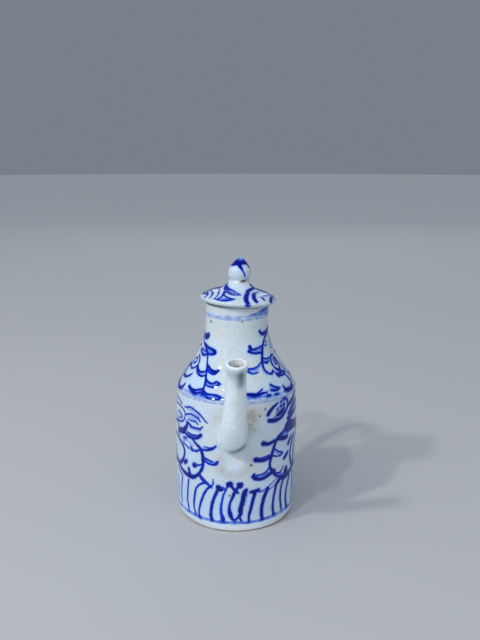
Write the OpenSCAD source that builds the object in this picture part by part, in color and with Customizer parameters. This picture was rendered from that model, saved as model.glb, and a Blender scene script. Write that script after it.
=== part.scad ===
// Small bottle-shaped porcelain teapot with a lift-off lid, a front spout and an ear handle.
// It is made the way a potter makes it: thrown belly, thrown shoulder and neck, moulded spout,
// pulled handle, thrown lid and rolled knob, each luted to the next with slip.
// Frame: millimetres, +Z up, spout towards -Y, handle towards +Y, origin at the centre of the foot.

/* [Belly] */
// Widest outer radius of the belly
belly_r = 36.2; // [33:0.1:40]
// Height of the widest point of the belly
belly_z = 58; // [45:1:66]
// Height of the sharp ridge where the shoulder is luted on
ridge_z = 79.6; // [74:0.2:86]
// Outer radius at the ridge
ridge_r = 35.1; // [32:0.1:38]
// Outer radius just above the foot
foot_r = 34.6; // [31:0.1:36]
// Thickness of the thrown wall
wall = 3.2; // [2.4:0.1:4.2]
// Thickness of the floor
floor_t = 4.4; // [3:0.1:6]

/* [Shoulder and neck] */
// Outer radius of the neck at its narrowest
neck_r = 18.5; // [16:0.1:21]
// Height of the mouth
mouth_z = 129; // [122:0.5:134]
// Lean of the cone below the neck, in degrees from upright
cone_angle = 35.5; // [32:0.5:38]
// Thickness of the neck
neck_wall = 2.5; // [2:0.1:3.2]

/* [Spout] */
// Distance of the spout's mouth in front of the pot's axis
spout_reach = 66; // [58:0.5:72]
// Height of the spout's mouth
spout_z = 110.5; // [102:0.5:118]
// Height at which the spout leaves the belly
spout_root_z = 58; // [54:0.5:62]
// Outer radius of the spout near its mouth
spout_tip_r = 5.3; // [4.8:0.1:6.5]
// Outer radius of the spout near the belly
spout_root_r = 9; // [8:0.1:9.6]
// Radius of each strainer hole
strainer_r = 1.3; // [1:0.1:1.5]

/* [Handle] */
// Distance of the handle's back behind the pot's axis
handle_reach = 60; // [54:1:66]
// Half width of the strap
strap_w = 5.6; // [4.5:0.1:7]
// Half thickness of the strap
strap_t = 2.9; // [2.4:0.1:3.6]

/* [Lid and knob] */
// Outer radius of the lid
lid_r = 22.4; // [20:0.1:25]
// Height of the lid's top, where the knob sits, above the mouth
lid_h = 12.6; // [11:0.1:15]
// Depth of the collar that keeps the lid in the neck
collar_h = 6; // [4:0.5:9]
// Gap all round between the collar and the neck
collar_gap = 0.8; // [0.5:0.1:1.2]
// Radius of the knob's ball
knob_r = 6.7; // [5.8:0.05:7.2]
// Height of the knob
knob_h = 13.5; // [12:0.1:15]
// Radius of the steam hole
steam_r = 1.2; // [0.8:0.1:1.3]

/* [Hidden] */
$fn = 96;
PLAIN_GLAZE = [0.80, 0.85, 0.88];
PAINTED_GLAZE = [0.72, 0.79, 0.90];
COBALT = [0.16, 0.24, 0.62];

// ---- the thrown outline, as a radius at each height ----
bead = 0.35;       // how far the luted seam stands proud at the ridge
bead_z = 1.5;      // how far the seam reaches above and below the ridge
foot_z = 1.6;      // height of the turned bevel at the foot
foot_bevel = 1.3;  // how far the bevel is cut in
foot_round_z = 5;  // height at which the wall has swung out to foot_r
neck_sweep = 43;   // radius of the hollow curve from the cone into the neck
neck_sweep_z = 118.8;
lip_round = 0.7;   // rounding of the mouth's outer edge
shoulder_round = 8; // height over which the shoulder eases into its straight cone

function belly_radius(z) =
    z >= belly_z
        ? belly_r - (belly_r - ridge_r) * pow((z - belly_z) / (ridge_z - belly_z), 2)
        : belly_r - (belly_r - foot_r) * pow((belly_z - z) / (belly_z - foot_round_z), 1.3);

// The cone is tangent to the hollow neck curve where the curve reaches cone_angle.
cone_top_z = neck_sweep_z - neck_sweep * sin(cone_angle);
cone_top_r = neck_r + neck_sweep * (1 - cos(cone_angle));
function neck_radius(z) =
    z >= neck_sweep_z ? neck_r
    : z >= cone_top_z ? neck_r + neck_sweep - sqrt(pow(neck_sweep, 2) - pow(neck_sweep_z - z, 2))
    : cone_top_r + (cone_top_z - z) * tan(cone_angle);
// Close to the ridge the shoulder is drawn in from the cone to the belly's own radius.
cone_at_ridge = neck_radius(ridge_z);
function shoulder_radius(z) =
    neck_radius(z)
    - (cone_at_ridge - ridge_r) * pow(max(0, 1 - (z - ridge_z) / shoulder_round), 2);
function ridge_bead(z) = bead * pow(max(0, 1 - abs(z - ridge_z) / bead_z), 2);

belly_step = 3;
belly_zs = concat([for (z = [foot_round_z : belly_step : ridge_z - bead_z - 1]) z],
                  [ridge_z - bead_z, ridge_z - bead_z / 2, ridge_z]);
belly_outline = concat(
    [[foot_r - foot_bevel, 0], [foot_r - 0.35, foot_z]],
    [for (z = belly_zs) [belly_radius(z) + ridge_bead(z), z]]);

shoulder_step = 2.4;
shoulder_zs = concat([ridge_z, ridge_z + bead_z / 2, ridge_z + bead_z],
                     [for (z = [ridge_z + bead_z + 1.5 : shoulder_step : neck_sweep_z]) z]);
shoulder_outline = concat(
    [for (z = shoulder_zs) [shoulder_radius(z) + ridge_bead(z), z]],
    [[neck_r, neck_sweep_z + 4], [neck_r + 0.15, mouth_z - lip_round],
     [neck_r - 0.1, mouth_z - 0.2], [neck_r - lip_round, mouth_z]]);

// ---- the hollow inside ----
floor_round = 5;   // rounding where the floor turns up into the wall
inner_floor_r = foot_r - wall - floor_round;
belly_hollow = concat(
    [[0, floor_t]],
    [for (a = [0 : 22.5 : 90])
        [inner_floor_r + floor_round * sin(a), floor_t + floor_round * (1 - cos(a))]],
    [for (z = [floor_t + floor_round + 6 : 8 : ridge_z - 4]) [belly_radius(z) - wall, z]],
    [[ridge_r - wall, ridge_z], [0, ridge_z]]);
neck_bore = neck_r - neck_wall;
shoulder_hollow = concat(
    [[0, ridge_z], [ridge_r - wall, ridge_z]],
    [for (z = [ridge_z + 3 : shoulder_step * 1.5 : neck_sweep_z - 6])
        [max(neck_bore, shoulder_radius(z) - wall * 1.15), z]],
    [[neck_bore, neck_sweep_z - 1], [neck_bore, mouth_z - 0.8], [neck_bore + 0.6, mouth_z],
     [neck_bore + 0.6, mouth_z + 1], [0, mouth_z + 1]]);

// The filled outside of the pot, which trims the spout and the handle where they are luted on.
module pot_envelope() {
    rotate_extrude()
        polygon(concat([[0, 0]], belly_outline,
                       [for (i = [1 : len(shoulder_outline) - 1]) shoulder_outline[i]],
                       [[0, mouth_z]]));
}

// ---- belly: thrown cylinder with a shallow turned foot and the pierced strainer ----
foot_recess = 1.6;
foot_ring_w = 5.5;
strainer_pitch = 4;   // distance of the outer holes from the middle one
strainer_lift = 1.6;  // height of the middle hole above the spout's root

module strainer_holes() {
    for (i = [0 : 6]) {
        side = i == 0 ? 0 : strainer_pitch * cos(60 * i);
        up = i == 0 ? 0 : strainer_pitch * sin(60 * i);
        translate([side, -belly_r + wall, spout_root_z + strainer_lift + up])
            rotate([90, 0, 0])
                cylinder(r = strainer_r, h = 3 * wall, center = true, $fn = 24);
    }
}

module belly() {
    foot_in = foot_r - foot_bevel - foot_ring_w;
    color(PAINTED_GLAZE)
        difference() {
            rotate_extrude()
                polygon(concat([[0, 0]], belly_outline, [[0, ridge_z]]));
            rotate_extrude()
                polygon(belly_hollow);
            translate([0, 0, -1])
                cylinder(r1 = foot_in + 1, r2 = foot_in - 0.6, h = foot_recess + 1);
            strainer_holes();
        }
}

// ---- shoulder and neck: thrown separately and luted on at the ridge ----
module shoulder_neck() {
    color(PAINTED_GLAZE)
        difference() {
            rotate_extrude()
                polygon(concat([[0, ridge_z]], shoulder_outline, [[0, mouth_z]]));
            rotate_extrude()
                polygon(shoulder_hollow);
        }
}

// ---- sweeps: rings of points on a curve in the plane x = 0, skinned into one closed shell ----
function bezier(p, t) =
    pow(1 - t, 3) * p[0] + 3 * pow(1 - t, 2) * t * p[1]
    + 3 * (1 - t) * t * t * p[2] + pow(t, 3) * p[3];
function bezier_way(p, t) =
    let (d = pow(1 - t, 2) * (p[1] - p[0]) + 2 * (1 - t) * t * (p[2] - p[1])
             + t * t * (p[3] - p[2]))
    d / norm(d);
// One ring: c is its centre and way its direction, both [y, z]; w is its half width along X,
// h its half height across, and squareness 1 is an ellipse and under 1 a flatter strap.
function bulge(v, squareness) = sign(v) * pow(abs(v), squareness);
function ring(c, way, w, h, sides, squareness = 1) =
    [for (i = [0 : sides - 1])
        let (a = 360 * i / sides,
             across = w * bulge(cos(a), squareness),
             up = h * bulge(sin(a), squareness))
        [across, c[0] - way[1] * up, c[1] + way[0] * up]];
function skin(rings, sides) =
    [for (k = [0 : rings - 2], i = [0 : sides - 1], half = [0, 1])
        let (j = (i + 1) % sides, a = k * sides, b = (k + 1) * sides)
        half == 0 ? [a + i, a + j, b + i] : [a + j, b + j, b + i]];

// ---- spout: a moulded hollow tube that narrows as it rises and ends in a rolled lip ----
spout_sides = 28;
spout_path = [[-33, spout_root_z], [-46, spout_root_z + 3],
              [11 - spout_reach, spout_z - 24.5], [-spout_reach, spout_z]];
root_flare = 0.6;    // extra radius where the slip fillet spreads on the belly
lip_flare = 0.6;     // extra radius at the mouth
bulb = 0.4;          // extra roundness of the bulb below the spout's throat
bore_tip_r = 2.1;
bore_root_r = 6.2;
bore_flare = 0.2;
function spout_outer(t) =
    spout_tip_r + (spout_root_r - spout_tip_r) * pow(1 - t, 1.6)
    + bulb * exp(-pow((t - 0.4) / 0.13, 2))
    + root_flare * exp(-pow(t / 0.07, 2)) + lip_flare * exp(-pow((1 - t) / 0.06, 2));
function spout_bore(t) =
    bore_tip_r + (bore_root_r - bore_tip_r) * pow(1 - t, 1.4)
    + bore_flare * exp(-pow((1 - t) / 0.05, 2));
function spout_ring(t, r, ahead = 0) =
    let (way = bezier_way(spout_path, t))
    ring(bezier(spout_path, t) + ahead * way, way, r, r, spout_sides);

module spout_tube() {
    outside = [0, 0.04, 0.08, 0.12, 0.17, 0.23, 0.3, 0.38, 0.46, 0.55, 0.64, 0.73, 0.82, 0.9, 0.96];
    inside = [0.97, 0.92, 0.82, 0.7, 0.55, 0.4, 0.25, 0.1, 0];
    lip_mid = (spout_outer(1) + spout_bore(1)) / 2;
    lip_half = (spout_outer(1) - spout_bore(1)) / 2;
    rings = concat(
        [for (t = outside) spout_ring(t, spout_outer(t))],
        [for (a = [0 : 36 : 180])
            spout_ring(1, lip_mid + lip_half * cos(a), 0.9 * lip_half * sin(a))],
        [for (t = inside) spout_ring(t, spout_bore(t))]);
    count = len(rings);
    // the last ring joins the first, so the skin closes on itself like a sleeve
    polyhedron(points = [for (r = rings) for (p = r) p],
               faces = concat(skin(count, spout_sides),
                   [for (i = [0 : spout_sides - 1], half = [0, 1])
                       let (j = (i + 1) % spout_sides, a = (count - 1) * spout_sides)
                       half == 0 ? [a + i, a + j, i] : [a + j, j, i]]));
}

module spout() {
    color(PLAIN_GLAZE)
        difference() {
            spout_tube();
            pot_envelope();
        }
}

// ---- handle: a pulled strap, luted to the neck above and to the belly below ----
handle_sides = 16;
handle_top = [[15, 112], [36, 122], [handle_reach, 121], [handle_reach, 97]];
handle_low = [[handle_reach, 97], [handle_reach, 77], [50, 62], [32, 49]];
handle_flare = 0.45;   // share by which the strap spreads where it is luted on
function handle_spread(s) =
    1 + handle_flare * (exp(-pow(s / 0.09, 2)) + exp(-pow((1 - s) / 0.08, 2)));
function handle_ring(s) =
    let (upper = s < 0.5,
         t = upper ? 2 * s : 2 * s - 1,
         path = upper ? handle_top : handle_low,
         spread = handle_spread(s),
         thin = 1 - 0.18 * s)
    ring(bezier(path, t), bezier_way(path, t), strap_w * thin * spread,
         strap_t * thin * spread, handle_sides, 0.8);

module handle() {
    steps = 34;
    rings = [for (k = [0 : steps]) handle_ring(k / steps)];
    last = steps * handle_sides;
    color(PAINTED_GLAZE)
        difference() {
            polyhedron(
                points = [for (r = rings) for (p = r) p],
                faces = concat(
                    skin(steps + 1, handle_sides),
                    [[for (i = [handle_sides - 1 : -1 : 0]) i]],
                    [[for (i = [0 : handle_sides - 1]) last + i]]));
            pot_envelope();
        }
}

// ---- lid: thrown cap that sits on the mouth, with a collar that drops into the neck ----
knob_foot_r = 5.9;
knob_z = mouth_z + lid_h;      // where the knob is luted to the lid
collar_r = neck_bore - collar_gap;
collar_wall = 2.2;
lid_dome = 6.7;                // height of the full dome that the cap is part of
lid_edge_z = mouth_z + 2.1;    // height of the cap's widest edge, above its rounded underside
lid_t = 3.2;
dome_turn = 62;                // degrees up the dome at which it swings into the knob's foot

function dome_r(a) = lid_r * cos(a);
function dome_z(a) = lid_edge_z + lid_dome * pow(sin(a), 1.4);
lid_foot_r = dome_r(dome_turn);
lid_foot_z = dome_z(dome_turn);

// The cap's outside: a convex dome up from the rim, then a hollow swing up to the knob.
lid_outside = concat(
    [[lid_r - 2.8, mouth_z], [lid_r - 1.2, mouth_z + 0.45], [lid_r - 0.35, mouth_z + 1.15]],
    [for (k = [0 : 8]) [dome_r(dome_turn * k / 8), dome_z(dome_turn * k / 8)]],
    [for (u = [0.2 : 0.2 : 1.01])
        [knob_foot_r + (lid_foot_r - knob_foot_r) * pow(1 - u, 2),
         lid_foot_z + (knob_z - lid_foot_z) * u]]);

// The cap's inside: a shallow bowl that runs down into the collar.
bowl_r = collar_r - collar_wall;
lid_inside = [
    [0, lid_foot_z - lid_t + 0.4], [0.55 * bowl_r, lid_foot_z - lid_t],
    [0.8 * bowl_r, lid_foot_z - lid_t - 1.2], [bowl_r, mouth_z + 1.2],
    [bowl_r, mouth_z - collar_h], [collar_r - 0.5, mouth_z - collar_h],
    [collar_r, mouth_z - collar_h + 0.6], [collar_r, mouth_z]];

module steam_hole() {
    steam_at = 26;      // degrees round from the spout side, towards +X
    steam_lean = 38;    // degrees that the hole leans out from upright
    rotate([0, 0, steam_at])
        translate([0, -knob_foot_r - 0.5, knob_z - 0.75])
            rotate([steam_lean, 0, 0])
                cylinder(r = steam_r, h = 6 * lid_t, center = true, $fn = 24);
}

module lid() {
    color(PAINTED_GLAZE)
        difference() {
            rotate_extrude()
                polygon(concat(lid_inside, lid_outside, [[0, knob_z]]));
            steam_hole();
        }
}

// ---- finial: a rolled ball drawn up into a bud ----
ball_z = knob_z + 4.3;
bud_turn = 30;    // degrees above the ball's equator at which it starts to draw in to the tip
bud_r = knob_r * cos(bud_turn);
bud_z = ball_z + knob_r * sin(bud_turn);
bud_top = knob_z + knob_h;

module finial() {
    low = -asin((ball_z - knob_z) / knob_r);
    color(COBALT)
        rotate_extrude()
            polygon(concat(
                [[0, knob_z]],
                [for (k = [0 : 9])
                    let (a = low + (bud_turn - low) * k / 9)
                    [knob_r * cos(a), ball_z + knob_r * sin(a)]],
                [for (u = [0.2 : 0.2 : 0.81])
                    [bud_r * pow(1 - u, 0.8), bud_z + (bud_top - bud_z) * u]],
                [[0.5, bud_top - 0.15], [0, bud_top]]));
}

belly();
shoulder_neck();
spout();
handle();
lid();
finial();
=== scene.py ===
# %% [markdown]
# # A small blue-and-white porcelain teapot
# The pot is thrown, moulded and luted from six pieces of porcelain: a belly, a shoulder with
# its neck, a hollow spout, a strap handle, a lid and the lid's knob. Each one is modelled here
# on the wheel or along a curve, as a potter would make it. The brushwork is then worked out
# stroke by stroke on the surface, and a glaze material shows it as if through clear glass.
#
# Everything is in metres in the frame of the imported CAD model: +Z is up, the spout points
# towards -Y and the handle towards +Y. Most sizes of the pot are easier to read in
# millimetres, so lists of places are in millimetres and MM turns them into metres.

# %% Load the frame
import math

import bmesh
import bpy
import numpy as np
from mathutils import Matrix, Vector, noise


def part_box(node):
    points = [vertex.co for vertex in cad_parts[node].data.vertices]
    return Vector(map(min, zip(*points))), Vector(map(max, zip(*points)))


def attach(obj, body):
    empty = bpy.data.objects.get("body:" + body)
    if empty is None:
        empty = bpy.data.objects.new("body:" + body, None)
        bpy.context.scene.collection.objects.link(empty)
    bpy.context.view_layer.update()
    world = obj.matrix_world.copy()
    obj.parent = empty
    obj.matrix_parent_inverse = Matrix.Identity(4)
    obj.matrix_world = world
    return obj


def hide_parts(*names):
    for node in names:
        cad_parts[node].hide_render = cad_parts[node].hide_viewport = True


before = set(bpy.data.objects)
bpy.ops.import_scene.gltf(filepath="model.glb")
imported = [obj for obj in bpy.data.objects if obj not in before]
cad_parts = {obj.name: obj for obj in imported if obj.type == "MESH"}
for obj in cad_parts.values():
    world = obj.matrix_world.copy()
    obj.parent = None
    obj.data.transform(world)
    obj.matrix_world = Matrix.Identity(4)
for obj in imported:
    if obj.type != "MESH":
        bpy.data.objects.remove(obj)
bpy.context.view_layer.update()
MM = 0.001

belly_high, neck_high, lid_high, knob_high = (
    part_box(node)[1] for node in ("belly", "shoulder_neck", "lid", "finial"))

# %% [markdown]
# ## The camera
# The pot is seen from the front and a little above, so that the foot curves strongly and the
# rim of the lid only slightly. A camera placed too near would exaggerate that difference and
# one too far would lose it, so the distance matters more than the lens. The lens is then as
# long as the frame of 480 by 640 pixels needs.

# %% Camera
CAMERA_AT = (0.00215, -0.44606, 0.21793)
CAMERA_DOWN = 12.61       # degrees below the horizon
FOCAL_PIXELS = 775.9      # focal length, in pixels of a frame that is 640 pixels high
FRAME_HEIGHT = 640
SENSOR = 36.0

camera_data = bpy.data.cameras.new("camera")
camera_data.sensor_width = SENSOR
camera_data.lens = FOCAL_PIXELS * SENSOR / FRAME_HEIGHT
camera = bpy.data.objects.new("camera", camera_data)
camera.location = CAMERA_AT
camera.rotation_euler = (math.radians(90 - CAMERA_DOWN), 0, 0)
bpy.context.collection.objects.link(camera)
bpy.context.scene.camera = camera
print("lens", round(camera_data.lens, 2), "mm")

# %% [markdown]
# ## The floor
# The pot stands on one large pale disc, which is wide enough to fill every view and matt, so
# that it keeps a soft shadow and no reflection. It isn't part of the pot.

# %% Floor
FLOOR_R = 6.0
FLOOR_SIDES = 96
FLOOR_COLOUR = (0.50, 0.515, 0.53, 1)
FLOOR_ROUGHNESS = 0.9


def plain_material(name, colour, roughness):
    """A matt one-colour material, for the stage only."""
    mat = bpy.data.materials.new(name)
    mat.use_nodes = True
    shader = mat.node_tree.nodes["Principled BSDF"]
    shader.inputs["Base Color"].default_value = colour
    shader.inputs["Roughness"].default_value = roughness
    return mat


def finish_mesh(bm, name, smooth=True):
    """Turns a bmesh into a linked object at the origin."""
    mesh = bpy.data.meshes.new(name)
    bm.to_mesh(mesh)
    bm.free()
    if smooth:
        mesh.polygons.foreach_set("use_smooth", [True] * len(mesh.polygons))
    made = bpy.data.objects.new(name, mesh)
    bpy.context.collection.objects.link(made)
    print(name, len(mesh.polygons), "faces")
    return made


floor_bm = bmesh.new()
bmesh.ops.create_circle(floor_bm, cap_ends=True, radius=FLOOR_R, segments=FLOOR_SIDES)
floor = finish_mesh(floor_bm, "floor", smooth=False)
floor.data.materials.append(plain_material("floor_paint", FLOOR_COLOUR, FLOOR_ROUGHNESS))
print("floor", 2 * FLOOR_R, "m across")

# %% [markdown]
# ## The light
# Glaze is a mirror over a soft white body. A broad lamp would show in it as a white patch and
# hide the painting, so the lamps in front are a pair of tiny softboxes at the upper left that
# show as small glints. A wide, weak one stands behind. The rest of the light comes from the room
# itself, which is brighter at the front left and bluer in its shadows. The camera and the glaze
# see the room as a plain grey instead, and Light Path tells the two apart. Four helpers keep
# this chain of nodes short, and the materials use them again.

# %% Softboxes
LAMPS_AIM = Vector((0, 0, 0.08))     # the middle of the pot, in metres


def softbox(name, towards, distance, size, watts, colour):
    """A rectangular lamp that stands in the direction towards and faces the pot's middle."""
    data = bpy.data.lights.new(name, "AREA")
    data.shape = "RECTANGLE"
    data.size = size[0]
    data.size_y = size[1]
    data.energy = watts
    data.color = colour
    lamp = bpy.data.objects.new(name, data)
    way = Vector(towards).normalized()
    lamp.location = LAMPS_AIM + way * distance
    lamp.rotation_euler = way.to_track_quat("Z", "Y").to_euler()
    bpy.context.collection.objects.link(lamp)


softbox("key_left", (-0.58, -0.47, 0.67), 1.3, (0.08, 0.08), 4.6, (1.0, 0.99, 0.97))
softbox("key_front", (-0.37, -0.64, 0.67), 1.3, (0.06, 0.06), 3.0, (1.0, 0.99, 0.98))
softbox("back_low", (0.05, 0.90, 0.42), 1.7, (0.9, 0.5), 1.2, (1.0, 1.0, 1.0))

# %% Node helpers
def feed(tree, socket, value):
    """Links a socket to another one, or sets it where the value is a number or a colour."""
    if isinstance(value, bpy.types.NodeSocket):
        tree.links.new(value, socket)
    else:
        socket.default_value = value


def calc(tree, operation, a, b=0.0, clamp=False):
    """One step of arithmetic on numbers or sockets, kept within 0 and 1 where clamp is true."""
    node = tree.nodes.new("ShaderNodeMath")
    node.operation = operation
    node.use_clamp = clamp
    feed(tree, node.inputs[0], a)
    feed(tree, node.inputs[1], b)
    return node.outputs[0]


def ramp(tree, value, low, high, to_low=0.0, to_high=1.0):
    """A soft step: to_low where value is low, to_high where it is high."""
    node = tree.nodes.new("ShaderNodeMapRange")
    node.interpolation_type = "SMOOTHSTEP"
    for name, amount in (("Value", value), ("From Min", low), ("From Max", high),
                         ("To Min", to_low), ("To Max", to_high)):
        feed(tree, node.inputs[name], amount)
    return node.outputs["Result"]


def mix(tree, factor, a, b, kind="MIX"):
    """Colour a where factor is 0 and colour b where it is 1, or another blend of the two."""
    node = tree.nodes.new("ShaderNodeMix")
    node.data_type = "RGBA"
    node.blend_type = kind
    feed(tree, node.inputs["Factor"], factor)
    feed(tree, node.inputs[6], a)
    feed(tree, node.inputs[7], b)
    return node.outputs[2]

# %% The room's own light
ROOM_DIM = (0.36, 0.405, 0.475, 1)
ROOM_BRIGHT = (0.935, 0.96, 1.0, 1)
ROOM_BRIGHT_WAY = (-0.33, -0.94, 0.10)
ROOM_DIM_FROM = -0.2       # cosine of the angle from the bright way past which it is all dim
ROOM_SEEN = (0.19, 0.215, 0.25, 1)

world = bpy.data.worlds.new("pale_room")
world.use_nodes = True
room = world.node_tree
background = room.nodes["Background"]
background.inputs["Strength"].default_value = 1.0
towards = room.nodes.new("ShaderNodeVectorMath")
towards.operation = "DOT_PRODUCT"
towards.inputs[1].default_value = ROOM_BRIGHT_WAY
feed(room, towards.inputs[0], room.nodes.new("ShaderNodeTexCoord").outputs["Object"])
walls = mix(room, ramp(room, towards.outputs["Value"], ROOM_DIM_FROM, 1.0), ROOM_DIM, ROOM_BRIGHT)
rays = room.nodes.new("ShaderNodeLightPath").outputs
seen = calc(room, "MAXIMUM", rays["Is Camera Ray"], rays["Is Glossy Ray"])
feed(room, background.inputs["Color"], mix(room, seen, walls, ROOM_SEEN))
bpy.context.scene.world = world
bpy.context.scene.view_settings.view_transform = "Standard"
print("room", len(room.nodes), "nodes")

# %% [markdown]
# ## The outline of the pot
# A thrown pot is a solid of revolution with one outline, and everything else is measured from
# it: where a stroke of the brush lies, where the spout meets the wall, where the handle ends.
# So the outline comes first, as a function that gives the outer radius at any height. The belly
# swells gently to just above its middle. Above the ridge, where the shoulder was luted on,
# a straight cone runs up into a hollow curve, and that ends in an upright neck.

# %% Outline of belly, shoulder and neck
BELLY_R = belly_high.x / MM
RIDGE_Z = belly_high.z / MM
MOUTH_Z = neck_high.z / MM
BELLY_Z = 58.0         # height of the widest place
RIDGE_R = 35.1
FOOT_R = 34.6
FOOT_Z = 5.0           # height at which the turned foot has swung out to FOOT_R
FOOT_TUCK = 1.0        # how much narrower the foot is where it stands
BELLY_POWER = 1.3      # a higher power keeps the wall straighter and turns it in later
FOOT_POWER = 2.2
NECK_R = 18.5
NECK_SWEEP = 43.0      # radius of the hollow curve between cone and neck
NECK_SWEEP_Z = 118.8
CONE_LEAN = math.radians(35.5)
SHOULDER_EASE = 8.0    # height over which the shoulder eases from the ridge into its cone
SEAM = 0.35            # how far the luted seam stands proud
SEAM_Z = 1.5

cone_z = NECK_SWEEP_Z - NECK_SWEEP * math.sin(CONE_LEAN)
cone_r = NECK_R + NECK_SWEEP * (1 - math.cos(CONE_LEAN))


def neck_radius(z):
    """Outer radius of cone, hollow curve and neck, in millimetres."""
    if z >= NECK_SWEEP_Z:
        return NECK_R
    if z >= cone_z:
        return NECK_R + NECK_SWEEP - math.sqrt(NECK_SWEEP ** 2 - (NECK_SWEEP_Z - z) ** 2)
    return cone_r + (cone_z - z) * math.tan(CONE_LEAN)


cone_at_ridge = neck_radius(RIDGE_Z)


def pot_radius(z):
    """Outer radius of the pot at height z, in millimetres."""
    seam = SEAM * max(0, 1 - abs(z - RIDGE_Z) / SEAM_Z) ** 2
    if z > RIDGE_Z:
        ease = max(0, 1 - (z - RIDGE_Z) / SHOULDER_EASE) ** 2
        return neck_radius(z) - (cone_at_ridge - RIDGE_R) * ease + seam
    if z > BELLY_Z:
        return BELLY_R - (BELLY_R - RIDGE_R) * ((z - BELLY_Z) / (RIDGE_Z - BELLY_Z)) ** 2 + seam
    if z > FOOT_Z:
        return BELLY_R - (BELLY_R - FOOT_R) * ((BELLY_Z - z) / (BELLY_Z - FOOT_Z)) ** BELLY_POWER
    return FOOT_R - FOOT_TUCK * (1 - max(z, 0) / FOOT_Z) ** FOOT_POWER


print("outline", [(z, round(pot_radius(z), 1)) for z in (0, 20, 58, 80, 95, 110, 125)])

# %% [markdown]
# ## Throwing
# The wheel is Blender's spin operator: a chain of vertices is carried round the axis. Spinning
# an eighth of the pot and then copying that eighth seven times is much quicker than one long
# spin, and merging the doubles closes the seams and the poles. A real pot isn't as true as
# that. Fingers leave faint rings, and the clay sags a little while it is wet, so after the spin
# each vertex moves by a few hundredths of a millimetre of ring and a few tenths of slow warp.
# The glaze needs both, because a perfect surface mirrors the lamps too neatly.

# %% The wheel
SECTORS = 8
DOUBLES = 0.002        # vertices closer than this are merged, in millimetres


def chain(bm, outline):
    """Vertices along an outline of (radius, height) in millimetres, and the edges between."""
    verts = [bm.verts.new((r * MM, 0, z * MM)) for r, z in outline]
    return verts + [bm.edges.new(pair) for pair in zip(verts, verts[1:])]


def throw(outline, steps):
    """Spins an outline once round Z and closes its poles, as a bmesh with outward normals."""
    bm = bmesh.new()
    axis = {"cent": (0, 0, 0), "axis": (0, 0, 1)}
    bmesh.ops.spin(bm, geom=chain(bm, outline), angle=math.tau / SECTORS,
                   steps=steps // SECTORS, **axis)
    bmesh.ops.spin(bm, geom=bm.verts[:] + bm.edges[:] + bm.faces[:],
                   angle=math.tau * (SECTORS - 1) / SECTORS, steps=SECTORS - 1,
                   use_duplicate=True, **axis)
    bmesh.ops.remove_doubles(bm, verts=bm.verts, dist=DOUBLES * MM)
    bmesh.ops.recalc_face_normals(bm, faces=bm.faces)
    return bm


def steps_between(low, high, gap):
    """Evenly spaced values from low to high, about gap apart."""
    count = max(1, round(abs(high - low) / gap))
    return [low + (high - low) * k / count for k in range(count + 1)]

# %% The hand's unevenness
RING = 0.05            # how deep the throwing rings are, in millimetres
SLOW = 0.16            # how far the wall wanders over a few centimetres, in millimetres
RING_CHANGE = (0.02, 0.36)      # how quickly the rings change, level and upwards
SLOW_CHANGE = (0.035, 0.022)    # and the same for the slow wander


def from_axis(co):
    """How far a place is from the pot's axis, in millimetres."""
    return math.hypot(co.x, co.y) / MM


def outwards(co):
    """The level direction from the axis to a place."""
    return Vector((co.x, co.y, 0)).normalized()


def hand_warp(co, slow=SLOW):
    """The small unevenness of wet clay at a place, as a radial move in millimetres."""
    x, y, z = (c / MM for c in co)
    level, up = RING_CHANGE
    rings = noise.noise(Vector((level * x, level * y, up * z)))
    level, up = SLOW_CHANGE
    wave = noise.noise(Vector((level * x + 7, level * y, up * z)))
    return RING * rings + slow * wave


def warp_outside(bm, is_outer, slow=SLOW):
    """Moves the outer vertices by hand_warp, away from or towards the axis."""
    for v in bm.verts:
        if from_axis(v.co) > 1 and is_outer(v.co):
            v.co += outwards(v.co) * hand_warp(v.co, slow) * MM


print("warp at the spout's root", round(hand_warp((0, -BELLY_R * MM, BELLY_Z * MM)), 3), "mm")

# %% [markdown]
# ## How the top settled
# The neck dried a shade lower on the right, and the lid lies loose in it, so lid and knob lean
# the same way. The lean is written as two moves on finished vertices: a soft one that fades in
# up the neck, and a stiff one for lid and knob together.

# %% Lean of neck and lid
NECK_LEAN_Z = 96.0
NECK_DROP = 0.030      # millimetres of drop for each millimetre to the right, at the mouth
NECK_SHIFT = 0.5
LID_LEAN = math.radians(3.1)
LID_SHIFT = Vector((1.0, -0.1, 0.5))


def soft_step(x):
    """Rises softly from 0 to 1 while x does, and stays level outside."""
    x = min(1, max(0, x))
    return x * x * (3 - 2 * x)


def settle_neck(co):
    """The neck's own slight lean, growing from nothing at the top of the cone."""
    grow = soft_step((co.z / MM - NECK_LEAN_Z) / (MOUTH_Z - NECK_LEAN_Z))
    return Vector((co.x + NECK_SHIFT * MM * grow, co.y, co.z - NECK_DROP * co.x * grow))


mouth = Vector((0, 0, MOUTH_Z * MM))
LID_SETTLE = (Matrix.Translation(mouth + LID_SHIFT * MM) @ Matrix.Rotation(LID_LEAN, 4, "Y")
              @ Matrix.Translation(-mouth))
print("lid leans", round(math.degrees(LID_LEAN), 1), "degrees")

# %% [markdown]
# ## The belly
# The belly is thrown as a straight-sided pot with a flat floor. Its outer wall gets a row of
# vertices every half millimetre, because the brushwork is stored on the vertices and a stroke
# is only about a millimetre wide. The inner wall carries no painting, so it has far fewer.
# The foot is turned afterwards with a shallow recess, and the strainer is pierced where the
# spout will go, with a boolean cut by seven thin rods.

# %% Belly
WALL = 3.2
FLOOR_T = 4.4
FLOOR_ROUND = 5.0
FOOT_RING_IN = 28.8
FOOT_RECESS = 1.6
ROW = 0.5              # spacing of painted rows, in millimetres
BELLY_STEPS = 440

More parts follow.
